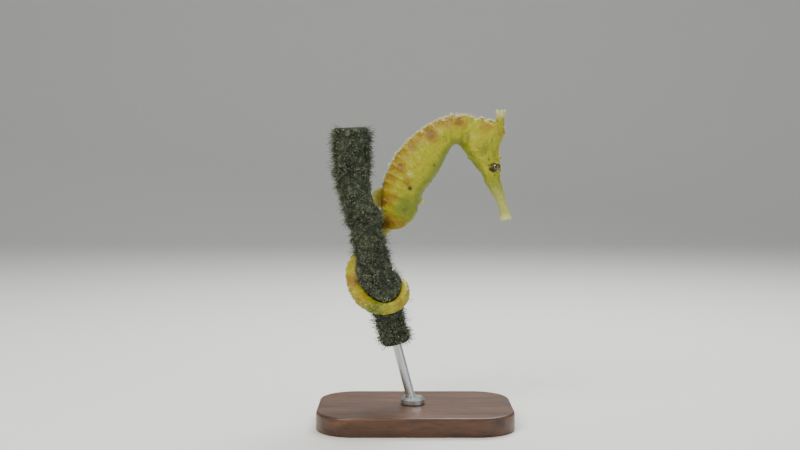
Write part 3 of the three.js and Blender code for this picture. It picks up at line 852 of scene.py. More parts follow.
def scatter_tree():
    """A node tree that sets a tuft on every root, along its lie, and turns the lot into one plain mesh."""
    tree = bpy.data.node_groups.new("Tufts on roots", "GeometryNodeTree")
    kinds = {"Roots": "Geometry", "Tuft": "Object", "Length": "Float", "Spread of lengths": "Float"}
    kinds |= {"Seed": "Int", "Material": "Material"}
    for name, kind in kinds.items():
        tree.interface.new_socket(name, in_out="INPUT", socket_type="NodeSocket" + kind)
    tree.interface.new_socket("Tufts", in_out="OUTPUT", socket_type="NodeSocketGeometry")
    given = tree.nodes.new("NodeGroupInput").outputs
    kept = {"lie": "FLOAT_VECTOR", "root_uv": "FLOAT_VECTOR", "OFBake": "FLOAT_VECTOR", "size": "FLOAT"}
    lie, root, patch, size = (
        add(tree, "GeometryNodeInputNamedAttribute", {"Name": name}, data_type=kind)
        for name, kind in kept.items()
    )
    tuft = add(tree, "GeometryNodeObjectInfo", {"Object": given["Tuft"], "As Instance": True}, out="Geometry")
    upright = add(tree, "FunctionNodeAlignRotationToVector", {"Vector": lie}, axis="Z")
    low = add(tree, "Math", {0: 1.0, 1: given["Spread of lengths"]}, operation="SUBTRACT")
    high = add(tree, "Math", {0: 1.0, 1: given["Spread of lengths"]}, operation="ADD")
    other = add(tree, "Math", {0: given["Seed"], 1: 1.0}, operation="ADD")
    spans = ({2: 0.0, 3: 2 * math.pi, "Seed": given["Seed"]}, {2: low, 3: high, "Seed": other})
    roll, vary = (add(tree, "FunctionNodeRandomValue", span, out=1, data_type="FLOAT") for span in spans)
    about = add(tree, "CombineXYZ", {"Z": roll})
    local = add(tree, "FunctionNodeEulerToRotation", {0: about})
    turned = add(tree, "FunctionNodeRotateRotation", {0: upright, 1: local}, rotation_space="LOCAL")
    long = add(tree, "Math", {0: given["Length"], 1: vary}, operation="MULTIPLY")
    long = add(tree, "Math", {0: long, 1: size}, operation="MULTIPLY")
    links = {"Points": given["Roots"], "Instance": tuft, "Rotation": turned, "Scale": long}
    placed = add(tree, "GeometryNodeInstanceOnPoints", links)
    real = add(tree, "GeometryNodeRealizeInstances", {0: placed})
    where = add(tree, "VectorMath", {0: patch, 1: root}, operation="ADD")
    links = {"Geometry": real, "Name": "OFBake", "Value": where}
    mapped = add(tree, "GeometryNodeStoreNamedAttribute", links, data_type="FLOAT2", domain="CORNER")
    shaded = add(tree, "GeometryNodeSetMaterial", {"Geometry": mapped, "Material": given["Material"]})
    tree.links.new(shaded, tree.nodes.new("NodeGroupOutput").inputs[0])
    return tree


def scatter(name, roots, tuft, length, spread, seed, material, slot):
    """Makes a plain mesh of tufts from arrays for the roots: points in mm, lie, size, root_uv, markings."""
    mesh = bpy.data.meshes.new(name + "_roots")
    mesh.from_pydata((roots.pop("points") * MM).tolist(), [], [])
    for key, values in roots.items():
        vector = np.ndim(values) == 2
        made = mesh.attributes.new(key, "FLOAT_VECTOR" if vector else "FLOAT", "POINT")
        made.data.foreach_set("vector" if vector else "value", np.asarray(values, np.float32).ravel())
    holder = link_object(name + "_roots", mesh)
    tree = bpy.data.node_groups.get("Tufts on roots") or scatter_tree()
    modifier = holder.modifiers.new("Tufts", "NODES")
    modifier.node_group = tree
    values = {"Tuft": tuft, "Length": length, "Spread of lengths": spread, "Seed": seed, "Material": material}
    for item in tree.interface.items_tree:
        if item.name in values:
            modifier[item.identifier] = values[item.name]
    bpy.context.view_layer.update()
    plain = bpy.data.meshes.new_from_object(holder.evaluated_get(bpy.context.evaluated_depsgraph_get()))
    holder.modifiers.remove(modifier)
    for spare in (holder, tuft):
        bpy.data.objects.remove(spare)
    for spare in ("lie", "size", "root_uv"):
        if spare in plain.attributes:
            plain.attributes.remove(plain.attributes[spare])
    if not plain.polygons:
        raise RuntimeError(f"{name} came out empty")
    plain.name = name
    finish_piece(link_object(name, plain), None, slot)


# ---------------- the animal

MARKS = ("warm", "dark", "pale", "green")
SKIN_NODES = ("snout", "head", "coronet", "neck", "trunk_upper", "trunk_lower")
# The coronet's outline: share of its height, and of the radius of its rim.
CORONET_PROFILE = (
    (-0.25, 1.3), (-0.1, 1.22), (0.05, 1.1), (0.22, 0.96), (0.42, 0.85), (0.6, 0.83), (0.75, 0.9),
    (0.87, 1.0), (0.95, 1.0), (1.0, 0.84), (0.98, 0.6), (0.92, 0.38), (0.9, 0.16),
)
CORONET = {"foot": (29.5, 1.7, 102.6), "top": (29.8, 1.7, 109.0), "rim": 1.42, "points": 5}
CORONET |= {"columns": 60, "rows": 46}
# The lips and the end of the tail: share of the end row's size, and how far it lies beyond it, in mm.
LIPS = (
    (0.97, 0.18), (0.88, 0.34), (0.76, 0.36), (0.64, 0.22), (0.55, -0.1), (0.5, -0.6), (0.42, -1.2),
    (0.25, -1.5),
)
TAIL_END = ((0.85, 0.22), (0.5, 0.38))
MOUTH_INSIDE = 0.6  # share of the end row's size under which a row of the lips lies inside the mouth


def coronet_rows():
    """Rows of the coronet: a flared foot on the crown, a waist, and a rim of low points round a dip."""
    foot, top = np.array(CORONET["foot"]), np.array(CORONET["top"])
    up = unit(top - foot)
    side = np.array((0.0, 1.0, 0.0))
    front = np.cross(side, up)
    turn = full_turn(CORONET["columns"])
    wave = np.cos(CORONET["points"] * turn)
    rows, heights = [], []
    for h, r in spline(CORONET_PROFILE, np.linspace(0, len(CORONET_PROFILE) - 1, CORONET["rows"])):
        radius = CORONET["rim"] * r * (1 + 0.17 * smooth(h, 0.4, 0.85) * wave)
        peak = 0.5 * smooth(h, 0.6, 1.0) * wave * min(r, 1)
        row = foot + up * (h * np.linalg.norm(top - foot)) + np.outer(radius * np.cos(turn), front)
        rows.append(row + np.outer(radius * 0.9 * np.sin(turn), side) + np.outer(peak, up))
        heights.append(h)
    points = np.array(rows).reshape(-1, 3)
    axis = foot + np.outer((points - foot) @ up, up)
    lumps = 0.2 * grain(points, 0.8, 3) + 0.3 * smooth(grain(points, 0.5, 4), 0.1, 0.5)
    points = points + lumps[:, None] * unit(points - axis)
    return points, unit(points - axis + 0.3 * up), np.repeat(heights, CORONET["columns"])


class SEAHORSE_OT_skin(bpy.types.Operator):
    """Builds the one skin of the animal, from the mouth to the tip of the tail, and its fringe"""

    bl_idname = "seahorse.skin"
    bl_label = "Skin and fringe"

    def execute(self, context):
        sizes = context.scene.seahorse_skin
        flat, (rows, columns), line = skin_rows(sizes)
        raise_skin(flat, sizes)
        marks = markings(*(flat[key] for key in ("points", "ring", "degrees", "knobs", "at")))
        shell = Shell(MARKS)
        shell.grid(rows, columns, flat["points"], **marks)
        for profile, end, row, way in ((LIPS, 0, 0, -1), (TAIL_END, -1, rows - 1, 1)):
            first = row * columns
            edge = {key: values[first : first + columns] for key, values in marks.items()}
            rim = flat["points"][first : first + columns]
            centre = rim.mean(0)
            # Rows inside the mouth are painted dark, with no pale: painted shade in the mouth's opening.
            inside = edge | {"pale": 0.0, "dark": 0.9}
            closing, values = [], []
            for share, out in profile:
                closing.append(centre + (rim - centre) * share + line.along[end] * way * out)
                values.append(inside if profile is LIPS and share < MOUTH_INSIDE else edge)
            shell.close(first, closing, values)
        crown, outwards, height = coronet_rows()
        crest = {"pale": 0.1 + 0.8 * smooth(height, 0.35, 0.95), "green": 0.35 * fall(height, 0, 0.6)}
        crest |= {"warm": 0.25 + 0.3 * grain(crown, 1.0, 4), "dark": 0 * height}
        crest = {key: np.clip(values, 0, 1) for key, values in crest.items()}
        first = shell.grid(CORONET["rows"], CORONET["columns"], crown, **crest)
        for start in (shell.count - CORONET["columns"], first):
            shell.faces.append(list(range(start, start + CORONET["columns"])))
        skin = shell.object("skin")
        nodes = [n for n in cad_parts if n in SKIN_NODES or n.startswith("tail_")]
        finish_piece(skin, skin_material(tuple(sizes.yellow)), "skin", *nodes)
        top = {"points": crown, "out": outwards, "height": height, "marks": crest}
        self.fringe(sizes, flat, marks, top)
        return {"FINISHED"}

    def fringe(self, sizes, flat, marks, top):
        """Sets clumps of pale filaments and blunt papillae on back, knobs, crown and throat."""
        rng = np.random.default_rng(11)
        degrees, ring, at, points = (flat[key] for key in ("degrees", "ring", "at", "points"))
        tail = smooth(ring, TRUNK_RINGS, TRUNK_RINGS + 3)
        nose = smooth(at, AT["snout_rear"], AT["nose"])
        back = fall(degrees, 10, 42) * smooth(at, AT["gill"], AT["nape"]) * (1 - 0.6 * tail)
        brow = 0.55 * fall(degrees, 10, 46) * nose * (ring < 0)
        chin = 0.6 * smooth(degrees, 150, 172) * nose * fall(ring, 4, 7)
        knobs = 0.6 * flat["knobs"] * (degrees < 120) * (1 - 0.5 * tail)
        cluster = smooth(grain(points, 1.0, 9), -0.05, 0.35)
        weight = np.maximum.reduce([back, brow, chin, knobs]) * (0.1 + cluster) * off_fin(points)
        far = np.min([np.linalg.norm(points - eye_centre(side), axis=1) for side in (-1, 1)], axis=0)
        weight *= (flat["thick"] > 0.8) * (far > EYE_RADIUS + 0.7)
        wide = flat["side"] * degrees / 180
        uv = np.stack([0.02 + 0.96 * flat["length"] / flat["length"].max(), 0.5 + 0.47 * wide, 0 * wide], 1)
        crest = np.flatnonzero(top["height"] > 0.35)
        # Name, count on the body and on the coronet, sway, share of the fringe's length, strength of the
        # pale tip, title, blades.
        kinds = (
            ("skin_fringe", sizes.fringe_count, 320, 0.45, 1.0, 0.9, "pale filaments of skin",
             clump(6, 0.11, 5, 0.4)),
            ("skin_papillae", sizes.papilla_count, 160, 0.25, 0.6, 0.4, "blunt papillae of skin",
             [{"length": 0.85, "width": 1.2, "segments": 4, "sides": 6, "blunt": 0.35, "lean": 0.1}]),
        )
        for name, count, on_crown, sway, scale, share, title, blades in kinds:
            chosen = rng.choice(len(weight), count, p=weight / weight.sum())
            over = rng.choice(crest, on_crown)
            lie = np.concatenate([flat["out"][chosen], top["out"][over]])
            lie = unit(lie + rng.normal(0, sway, lie.shape) + (0, 0, 0.15))
            base = np.concatenate([points[chosen] - flat["out"][chosen] * 0.08, top["points"][over]])
            crown_uv = [0.3 + 0.08 * top["height"][over], rng.uniform(0.42, 0.58, len(over)), 0 * over]
            size = 0.45 + np.maximum(back, brow)[chosen] * (0.25 + 0.75 * cluster[chosen])
            roots = {"points": base, "lie": lie, "size": np.concatenate([size, np.full(len(over), 0.6)])}
            roots["root_uv"] = np.concatenate([uv[chosen], np.stack(crown_uv, 1)])
            roots |= {key: np.concatenate([marks[key][chosen], top["marks"][key][over]]) for key in MARKS}
            material = fringe_material(title, tuple(sizes.yellow), share)
            tuft = tuft_object(name + "_tuft", blades)
            scatter(name, roots, tuft, sizes.fringe_length * scale, 0.4, 3, material, "skin")


def eye_material(centre):
    """A wet fish eye: a clear cornea over a dark gold iris with brown rays round a black pupil."""
    wet = {"Roughness": 0.08, "IOR": 1.376, "Coat_Weight": 1.0, "Coat_Roughness": 0.03}
    material, tree, shader = start_material("wet eye with a dark gold iris", **wet)
    place = add(tree, "TexCoord", out="Object")
    place = add(tree, "Mapping", {"Vector": place, "Location": tuple(-c * MM for c in centre)})
    parts = add(tree, "SeparateXYZ", {0: place}).node.outputs
    flat = add(tree, "CombineXYZ", {"X": parts["X"], "Z": parts["Z"]})
    far = add(tree, "VectorMath", {0: flat}, out="Value", operation="LENGTH")
    share = add(tree, "Math", {0: far, 1: EYE_RADIUS * MM}, operation="DIVIDE")
    angle = add(tree, "Math", {0: parts["Z"], 1: parts["X"]}, operation="ARCTAN2")
    rays = add(tree, "TexNoise", {"W": angle, "Scale": 4.5, "Detail": 3.0}, noise_dimensions="1D")
    golds = ((0.4, "#161006"), (0.56, "#3d2c0e"), (0.74, "#77601f"))
    iris = add(tree, "ValToRGB", {"Fac": rays}, stops=golds)
    # The dark edge of the iris, the gold line round the pupil, and the pupil.
    rings = ((share, 0.62, 0.85, 0.9, "#120d06"), (share, 0.42, 0.36, 0.7, "#8f6f26"))
    colour = layered(tree, iris, *rings, (share, 0.35, 0.31, 1.0, "#040404"))
    paint(shader, colour)
    return material


class SEAHORSE_OT_eyes(bpy.types.Operator):
    """Builds the two eyeballs, each with a low dome of cornea"""

    bl_idname = "seahorse.eyes"
    bl_label = "Eyes"

    def execute(self, context):
        rows, columns = 40, 56
        tilt = np.linspace(0.02, math.pi - 0.02, rows)
        turn = full_turn(columns)
        dome = EYE_RADIUS * (1 + 0.06 * bell(np.degrees(tilt), 32))
        x, z = (np.outer(dome * np.sin(tilt), wave) for wave in (np.cos(turn), np.sin(turn)))
        y = np.outer(dome * np.cos(tilt), np.ones(columns))
        for name, side in (("eye_right", -1), ("eye_left", 1)):
            centre = eye_centre(side)
            points = np.stack([x, y * side, z], -1).reshape(-1, 3) + centre
            ball = mesh_object(name + "_ball", points, capped_grid(rows, columns))
            finish_piece(ball, eye_material(centre), "eye", name)
        return {"FINISHED"}


# Fins: hub x, y, z, the fan's two angles, inner and outer radius, swell of the edge, rays, and lift off
# the flank. Millimetres and degrees.
FINS = {
    "dorsal_fin": ((-6.0, 4.6, 78.2), (143, 206), 3.4, 7.3, 1.9, 18, 0),
    "anal_fin": ((-1.0, 4.6, 77.4), (-22, 36), 0.8, 3.2, 0.8, 4, 0),
    "pectoral_fin_right": ((20.6, -1.2, 99.9), (150, 214), 1.2, 3.7, 0.8, 16, -20),
    "pectoral_fin_left": ((20.6, 5.0, 99.9), (150, 214), 1.2, 3.7, 0.8, 16, 20),
}


def fin_material(name, root, rays, clear):
    """A thin membrane stretched between soft rays: see-through between them, and darker along them."""
    material, tree, shader = flesh(name, 0.2, 0.5, Roughness=0.38, IOR=1.38)
    ray, edge = (add(tree, "Attribute", out="Fac", attribute_name=key) for key in ("ray", "edge"))
    (patch,) = patterns(tree, (0.7, 3, 0.3))
    colour = layered(
        tree,
        linear("#a39a2c"),
        (patch, 0.45, 0.65, 0.7, "#c9b964"),
        (ray, 0.3, 0.9, 0.6, rays),
        (edge, 0.62, 0.2, 0.85, root),
        (patch, 0.52, 0.62, 0.35, rays),
        (edge, 0.6, 0.95, clear, "#cfcb80"),
    )
    paint(shader, colour)
    vary_value(tree, shader, "Alpha", ray, 0.2, 0.9, clear, min(1.0, clear + 0.25))
    return material


class SEAHORSE_OT_fins(bpy.types.Operator):
    """Builds the dorsal, anal and pectoral fins as ribbed membranes with a scalloped edge"""

    bl_idname = "seahorse.fins"
    bl_label = "Fins"

    def execute(self, context):
        kinds = {
            "dorsal": fin_material("fin membrane over orange rays", "#96640f", "#75520e", 0.9),
            "anal": fin_material("green fin membrane over fine rays", "#6f7f14", "#66751a", 0.85),
            "pectoral": fin_material("clear fin membrane with fine rays", "#8f9226", "#85701c", 0.16),
        }
        for name, (hub, (start, end), inner, outer, swell, rays, lift) in FINS.items():
            across, along = rays * 6 + 1, 18
            share, out = np.linspace(0, 1, across), np.linspace(0, 1, along)
            phase = np.abs(((share * (rays - 1)) % 1) - 0.5) * 2
            ray = smooth(phase, 0.45, 1.0)
            angle = np.radians(start + (end - start) * share)
            bow = np.sin(math.pi * share)
            edge = outer + swell * bow + 0.16 * ray - 0.6 * fall(bow, 0, 0.35) + 0.12 * np.sin(share * 31)
            radius = inner + np.outer(out, edge - inner)
            wave = 0.3 * np.outer(out**1.5, np.sin(share * 10.0))
            wave += 0.05 * np.outer(out, np.cos(math.pi * phase))
            half = np.outer(1 - 0.6 * out, 0.05 + 0.1 * ray)
            x, z = radius * np.cos(angle), radius * np.sin(angle)
            sheets = [np.stack([x, wave + side * half, z], -1) for side in (-1, 1)]
            middle = math.radians((start + end) / 2)
            hinge = np.array((-math.sin(middle), 0, math.cos(middle)))
            points = rotate(np.concatenate(sheets).reshape(-1, 3), hinge, math.radians(lift)) + hub
            marks = {"ray": np.tile(ray, 2 * along), "edge": np.tile(np.repeat(out, across), 2)}
            fin = mesh_object(name + "_membrane", points, self.closed_sheet(along, across), marks)
            finish_piece(fin, kinds[name.split("_")[0]], "fin", name)
        return {"FINISHED"}

    @staticmethod
    def closed_sheet(rows, columns):
        """Faces of two sheets, one after the other, that are joined all round their edge."""
        front = grid_faces(rows, columns, 0, closed=False)
        size = rows * columns
        faces = front.tolist() + (front[:, ::-1] + size).tolist()
        grid = np.arange(size).reshape(rows, columns)
        loop = [*grid[0], *grid[1:, -1], *grid[-1, -2::-1], *grid[-2:0:-1, 0]]
        return faces + [[b, a, a + size, b + size] for a, b in zip(loop, loop[1:] + loop[:1])]


def rotate(points, axis, angle):
    """Points turned about an axis through the origin."""
    cos, sin = math.cos(angle), math.sin(angle)
    return points * cos + np.cross(axis, points) * sin + np.outer(points @ axis, axis) * (1 - cos)


# ---------------- the stem

TAIL_GAP = 0.35  # between the crust of the stem and the body, mm
STEM_GRID = (320, 120)  # rows along and columns round the crust
# Heights on the stem, in mm: the crust is swollen up to the body below the first, not above the second,
# and again round the tail's root. The dorsal fin wears the growth short round its own height.
TURN_TOP = (52, 60)
ROOT_LEVEL = 73
FIN_LEVEL = 79.5
# Lumps of the crust: height, size and seed.
STEM_LUMPS = ((0.3, 4.0, 21), (0.4, 1.5, 22), (0.3, 0.6, 23))
# Rows that close a cut end, as shares of its size, and the share beyond which the bark stands out.
CUT = (0.985, 0.9, 0.82, 0.78, 0.6, 0.4, 0.2)
BARK = 0.8


def clear_of_tail(points):
    """How far each point is from the surface of the body, in mm."""
    line = Line(np.linspace(AT["ring_9"], LAST, 260))
    far = np.full(len(points), 99.0)
    for middle, half, deep in zip(line.middle, line.half, line.deep):
        far = np.minimum(far, np.linalg.norm(points - middle, axis=1) - max(half, deep) * 1.08)
    return far


def growth_colour(tree, pale):
    """Dark brown-green turf with pale silt caught in it, on noise; pale is the strength of the silt."""
    patch, clot, fine = patterns(tree, (6.0, 4, 0.5), (1.6, 4, 0.6), (0.5, 3, 0))
    greens = ((0.32, "#15190f"), (0.5, "#272d1e"), (0.68, "#414832"))
    base = add(tree, "ValToRGB", {"Fac": patch}, stops=greens)
    return layered(tree, base, (fine, 0.5, 0.72, 0.7, "#586149"), (clot, 0.5, 0.66, pale, "#818a6f"))


def crust_material():
    """A plant stem crusted with silt and algae: dull and granular; the cut ends are bare wood."""
    material, tree, shader = start_material("stem crusted with silt and algae", Roughness=0.93)
    cut, across = (add(tree, "Attribute", out="Fac", attribute_name=key) for key in ("cut", "across"))
    grit, fibres = patterns(tree, (0.4, 4, 0), (0.5, 4, 0))
    bark = ((across, 0.74, 0.82, 1.0, "#4f4025"), (across, 0.9, 0.97, 1.0, "#2a2416"))
    wood = layered(tree, linear("#a08c5c"), (fibres, 0.4, 0.65, 0.8, "#c2b286"), *bark)
    colour = layered(tree, growth_colour(tree, 0.35), (cut, 0.4, 0.6, 1.0, wood))
    paint(shader, colour)
    roughen(tree, shader, (grit, 0.3, 0.9))
    return material


def growth_material(name, low, high):
    """Fine algae full of silt: matt, with paler tips."""
    material, tree, shader = start_material(name, Roughness=0.9)
    tip = add(tree, "Attribute", out="Fac", attribute_name="tip")
    (patch,) = patterns(tree, (2.4, 3, 0.5))
    shown = add(tree, "Math", {0: tip, 1: patch}, operation="MULTIPLY")
    colour = layered(tree, growth_colour(tree, 0.5), (shown, low, high, 0.65, "#a9b094"))
    paint(shader, colour)
    return material


class SEAHORSE_OT_stem(bpy.types.Operator):
    """Builds the cut length of stem and the turf, fuzz, threads and silt that grow on it"""

    bl_idname = "seahorse.stem"
    bl_label = "Stem and growth"

    def execute(self, context):
        sizes = context.scene.seahorse_stem
        rows, columns = STEM_GRID
        at = np.linspace(0, len(STEM_LINE) - 1, rows)
        middle, radius = spline(STEM_LINE, at), spline(np.array(STEM_RADII)[:, None], at)
        along = unit(np.gradient(middle, axis=0))
        front = unit(np.cross(along, (0.0, 1.0, 0.0)))
        turn = full_turn(columns)[:, None]
        out = front[:, None] * np.cos(turn) + np.cross(front, along)[:, None] * np.sin(turn)
        surface = (middle[:, None] + out * radius[:, None]).reshape(-1, 3)
        out = out.reshape(-1, 3)
        # The crust sinks under its turf, less so next to the body, and fills the tail's turn.
        near = clear_of_tail(surface)
        rough = sum(share * grain(surface, size, seed) for share, size, seed in STEM_LUMPS)
        swell = (0.3 + 0.7 * smooth(near, 0.3, 1.6)) * (rough - sizes.turf_depth / MM)
        level = surface[:, 2]
        full = fall(near, 1.0, 4.0) * np.maximum(fall(level, *TURN_TOP), bell(level - ROOT_LEVEL, 3.0))
        swell = swell * (1 - full) + 1.1 * full
        points = surface + out * swell[:, None]
        # Twice, since the way in towards the stem's middle isn't straight away from the body.
        for _ in range(2):
            points = points - out * np.clip(TAIL_GAP - clear_of_tail(points), 0, 2)[:, None]
        shell = Shell(("cut", "across"))
        shell.grid(rows, columns, points, across=1.0)
        for end, first, way in ((0, 0, -1), (-1, (rows - 1) * columns, 1)):
            rim, closing = points[first : first + columns], []
            for share in CUT:
                row = middle[end] + (rim - middle[end]) * share + along[end] * way * 0.1 * (share > BARK)
                closing.append(row + along[end] * way * 0.08 * grain(row, 0.7, 30)[:, None])
            shell.close(first, closing, [{"cut": 1.0, "across": share} for share in CUT])
        finish_piece(shell.object("perch_crust"), crust_material(), "growth", "perch_stem")
        self.growth(sizes, points, out, rows, columns)
        return {"FINISHED"}

    def growth(self, sizes, points, out, rows, columns):
        """Scatters turf, fuzz, threads and grains of silt over the stem, short where the tail grips it."""
        rng = np.random.default_rng(29)
        free = clear_of_tail(points)
        patchy = 0.35 + 0.8 * smooth(grain(points, 3.4, 31), -0.35, 0.4)
        # Growth is worn short where the dorsal fin beats against the stem.
        worn = 1 - 0.8 * bell(points[:, 2] - FIN_LEVEL, 5.0) * smooth(out[:, 0], 0.1, 0.6)
        row = np.repeat(np.arange(rows), columns)
        inner = (row > 1) & (row < rows - 2)
        column = np.tile(np.arange(columns), rows)
        place = np.stack([0.02 + 0.96 * column / columns, 0.02 + 0.96 * row / rows, 0.0 * row], 1)
        # Name, count, length in mm, clear space a full one needs, sway, where its pale tips start and are
        # full, title, blades.
        kinds = (
            ("perch_turf", sizes.tuft_count, 1.15, 0.9, 0.5, 0.35, 0.75, "turf of fine brown algae",
             clump(5, 0.09, 2, 0.6, segments=3, blunt=0.6)),
            ("perch_fuzz", sizes.fuzz_count, 1.9, 1.6, 0.6, 0.15, 0.7, "pale fuzz of algae and silt",
             clump(5, 0.045, 6, 0.8, segments=3, blunt=0.7)),
            ("perch_threads", sizes.thread_count, 3.2, 2.4, 0.6, 0.05, 0.45, "long pale threads of algae",
             clump(2, 0.032, 8, 0.6, segments=4, blunt=0.8)),
            ("perch_silt", sizes.grain_count, 0.42, 0.3, 0.4, -0.3, 0.4, "grains of pale silt", None),
        )
        for name, count, length, need, sway, low, high, title, blades in kinds:
            chance = inner * (free > 0.15) * (patchy if blades else patchy**2)
            chosen = rng.choice(len(points), count, p=chance / chance.sum())
            lift = rng.uniform(-0.12, 0.0 if blades else 0.75, (count, 1))
            lift = lift * np.minimum(free[chosen], 1)[:, None]
            lie = unit(out[chosen] + rng.normal(0, sway, (count, 3)) + (0, 0, -0.15))
            size = np.clip(free[chosen] / need, 0.2, 1) * (0.55 + 0.6 * patchy[chosen]) * worn[chosen]
            roots = {"points": points[chosen] + out[chosen] * lift, "lie": lie, "size": size}
            roots["root_uv"] = place[chosen]
            tuft = tuft_object(name + "_tuft", blades) if blades else lump_object(name + "_grain", 4)
            scatter(name, roots, tuft, length * MM, 0.5, 7, growth_material(title, low, high), "growth")


# ---------------- the stand


def wood_material():
    """Oiled walnut, planed and sanded: open straight grain along the base, satin."""
    material, tree, shader = start_material("oiled walnut")
    rings, pores = patterns(tree, (5.0, 4, 1.2), (0.45, 3, 0), stretch=(0.09, 1.0, 1.0))
    browns = ((0.3, "#2c1a10"), (0.5, "#4a2e1c"), (0.7, "#5e3d26"))
    grown = add(tree, "ValToRGB", {"Fac": rings}, stops=browns)
    paint(shader, layered(tree, grown, (pores, 0.58, 0.72, 1.0, "#20120b")))
    vary_value(tree, shader, "Roughness", pores, 0.4, 0.7, 0.34, 0.5)
    roughen(tree, shader, (pores, 0.04, 0.4))
    return material


def steel_material():
    """Brushed stainless steel: fine scratches round the rod, drawn 0.12 mm apart so that they show."""
    plain = {"Base_Color": linear("#b9babb"), "Metallic": 1.0}
    material, tree, shader = start_material("brushed stainless steel", **plain)
    (lines,) = patterns(tree, (0.12, 2, 0), stretch=(0.1, 0.1, 1.0))
    vary_value(tree, shader, "Roughness", lines, 0.3, 0.7, 0.24, 0.42)
    roughen(tree, shader, (lines, 0.01, 0.5))
    return material


class SEAHORSE_OT_stand(bpy.types.Operator):
    """Builds the rounded base, and gives the rod and its collar their steel"""

    bl_idname = "seahorse.stand"
    bl_label = "Display stand"

    CORNER = 13.0  # radius of the base's corners, mm
    EDGE = 0.9  # radius of its rounded upper edge, mm

    def execute(self, context):
        low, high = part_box("stand_base")
        half = (Vector(high) - Vector(low)) / MM / 2
        corner, edge = self.CORNER, self.EDGE
        outline, outward = [], []
        for quarter, (sx, sy) in enumerate(((1, 1), (-1, 1), (-1, -1), (1, -1))):
            turn = np.linspace(0, math.pi / 2, 24) + quarter * math.pi / 2
            way = np.stack([np.cos(turn), np.sin(turn)], 1)
            outward.append(way)
            outline.append(way * corner + (sx * (half.x - corner), sy * (half.y - corner)))
        outline, outward = np.concatenate(outline), np.concatenate(outward)
        # How far each row lies in from the outline, and its height.
        rows = [(0.5 * edge, 0.0), (0.15 * edge, 0.15 * edge), (0.0, 0.5 * edge)]
        for bend in np.linspace(0, math.pi / 2, 7):
            rows.append((edge * (1 - math.cos(bend)), 2 * half.z - edge * (1 - math.sin(bend))))
        points = [np.column_stack([outline - outward * inset, np.full(len(outline), z)]) for inset, z in rows]
        faces = capped_grid(len(rows), len(outline))
        base = mesh_object("stand_base_block", np.concatenate(points), faces)
        for flat_face in base.data.polygons[-2:]:
            flat_face.use_smooth = False
        finish_piece(base, wood_material(), "wood", "stand_base")
        steel = steel_material()
        for name in ("stand_rod", "stand_collar"):
            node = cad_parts[name]
            node.data.materials.clear()
            node.data.materials.append(steel)
        return {"FINISHED"}


# ---------------- the stage


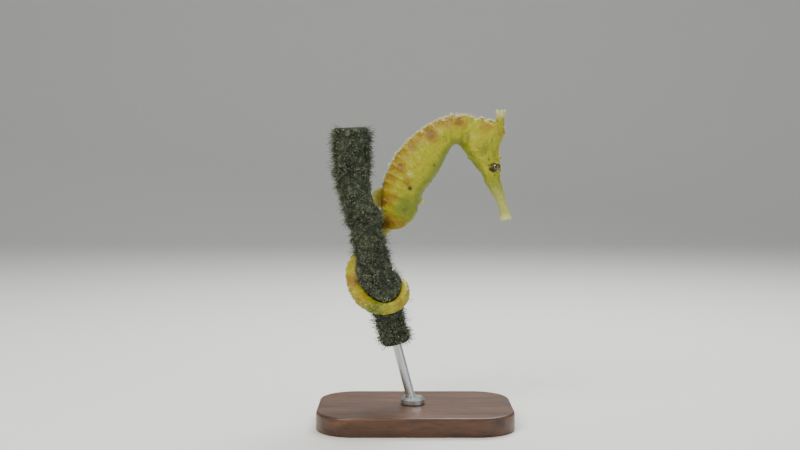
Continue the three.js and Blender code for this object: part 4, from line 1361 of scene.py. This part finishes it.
class SEAHORSE_OT_stage(bpy.types.Operator):
    """Builds the pale sweep, the lamps and the camera"""

    bl_idname = "seahorse.stage"
    bl_label = "Stage"

    TARGET = (-5.25, 2.0, 69.3)  # what the camera and the lamps look at, mm
    SWEEP = {"half": 6.0, "wall": 1.5, "bend": 0.6, "height": 3.0}  # metres
    WORLD = ("#e9edf0", 0.5)  # colour and strength of the light all round
    # Name, place and size in metres, power in watts, colour.
    LAMPS = (
        ("key", (-0.3, -0.42, 0.55), 0.35, 5.2, "#fff8ea"),
        ("fill", (0.55, -0.45, 0.22), 0.6, 1.8, "#eef5ff"),
        ("top", (0.1, 0.28, 0.55), 0.35, 5.0, "#ffffff"),
    )

    def execute(self, context):
        settings = context.scene.seahorse_stage
        material = start_material("pale paper sweep", Base_Color=linear("#d9dad6"), Roughness=0.95)[0]
        half, wall, bend, height = self.SWEEP.values()
        turn = np.linspace(0, math.pi / 2, 24)
        curve = zip(wall - bend + bend * np.sin(turn), bend - bend * np.cos(turn))
        profile = [(-half, 0.0), *curve, (wall, height)]
        points = [(x / MM, y / MM, z / MM) for y, z in profile for x in (-half, half)]
        faces = [(2 * i, 2 * i + 1, 2 * i + 3, 2 * i + 2) for i in range(len(profile) - 1)]
        sweep = mesh_object("sweep", points, faces)
        sweep.data.materials.append(material)
        back = Vector((0, -math.cos(settings.elevation), math.sin(settings.elevation)))
        lens = bpy.data.cameras.new("camera")
        lens.lens = settings.lens
        lens.sensor_width = 36
        lens.clip_start = 0.01
        place = Vector(self.TARGET) * MM + back * settings.distance
        context.scene.camera = self.aimed("camera", lens, place)
        for name, place, size, power, colour in self.LAMPS:
            light = bpy.data.lights.new(name, "AREA")
            light.size = size
            light.energy = power
            light.color = linear(colour)[:3]
            self.aimed(name, light, Vector(place))
        world = bpy.data.worlds.new("studio")
        world.use_nodes = True
        background = world.node_tree.nodes["Background"]
        background.inputs["Color"].default_value = linear(self.WORLD[0])
        background.inputs["Strength"].default_value = self.WORLD[1]
        context.scene.world = world
        return {"FINISHED"}

    def aimed(self, name, data, place):
        """An object that holds a camera or a lamp, at a place and looking at the target."""
        made = link_object(name, data)
        made.location = place
        made.rotation_euler = (Vector(self.TARGET) * MM - place).to_track_quat("-Z", "Y").to_euler()
        return made


# ---------------- panel and registration


class SEAHORSE_PT_panel(bpy.types.Panel):
    """Lists what the script builds"""

    bl_label = "Seahorse"
    bl_idname = "SEAHORSE_PT_panel"
    bl_space_type = "VIEW_3D"
    bl_region_type = "UI"
    bl_category = "Seahorse"

    def draw(self, context):
        for operator in OPERATORS:
            self.layout.operator(operator.bl_idname)


OPERATORS = (
    SEAHORSE_OT_skin,
    SEAHORSE_OT_eyes,
    SEAHORSE_OT_fins,
    SEAHORSE_OT_stem,
    SEAHORSE_OT_stand,
    SEAHORSE_OT_stage,
)
SETTINGS = {"seahorse_skin": SeahorseSkin, "seahorse_stem": SeahorseStem, "seahorse_stage": SeahorseStage}


def register():
    for kind in (*SETTINGS.values(), *OPERATORS, SEAHORSE_PT_panel):
        bpy.utils.register_class(kind)
    for name, kind in SETTINGS.items():
        setattr(bpy.types.Scene, name, PointerProperty(type=kind))


def unregister():
    for name in SETTINGS:
        delattr(bpy.types.Scene, name)
    for kind in (SEAHORSE_PT_panel, *reversed(OPERATORS), *SETTINGS.values()):
        bpy.utils.unregister_class(kind)


def main():
    register()
    bpy.ops.seahorse.skin()
    bpy.ops.seahorse.eyes()
    bpy.ops.seahorse.fins()
    bpy.ops.seahorse.stem()
    bpy.ops.seahorse.stand()
    bpy.ops.seahorse.stage()


if __name__ == "__main__":
    main()
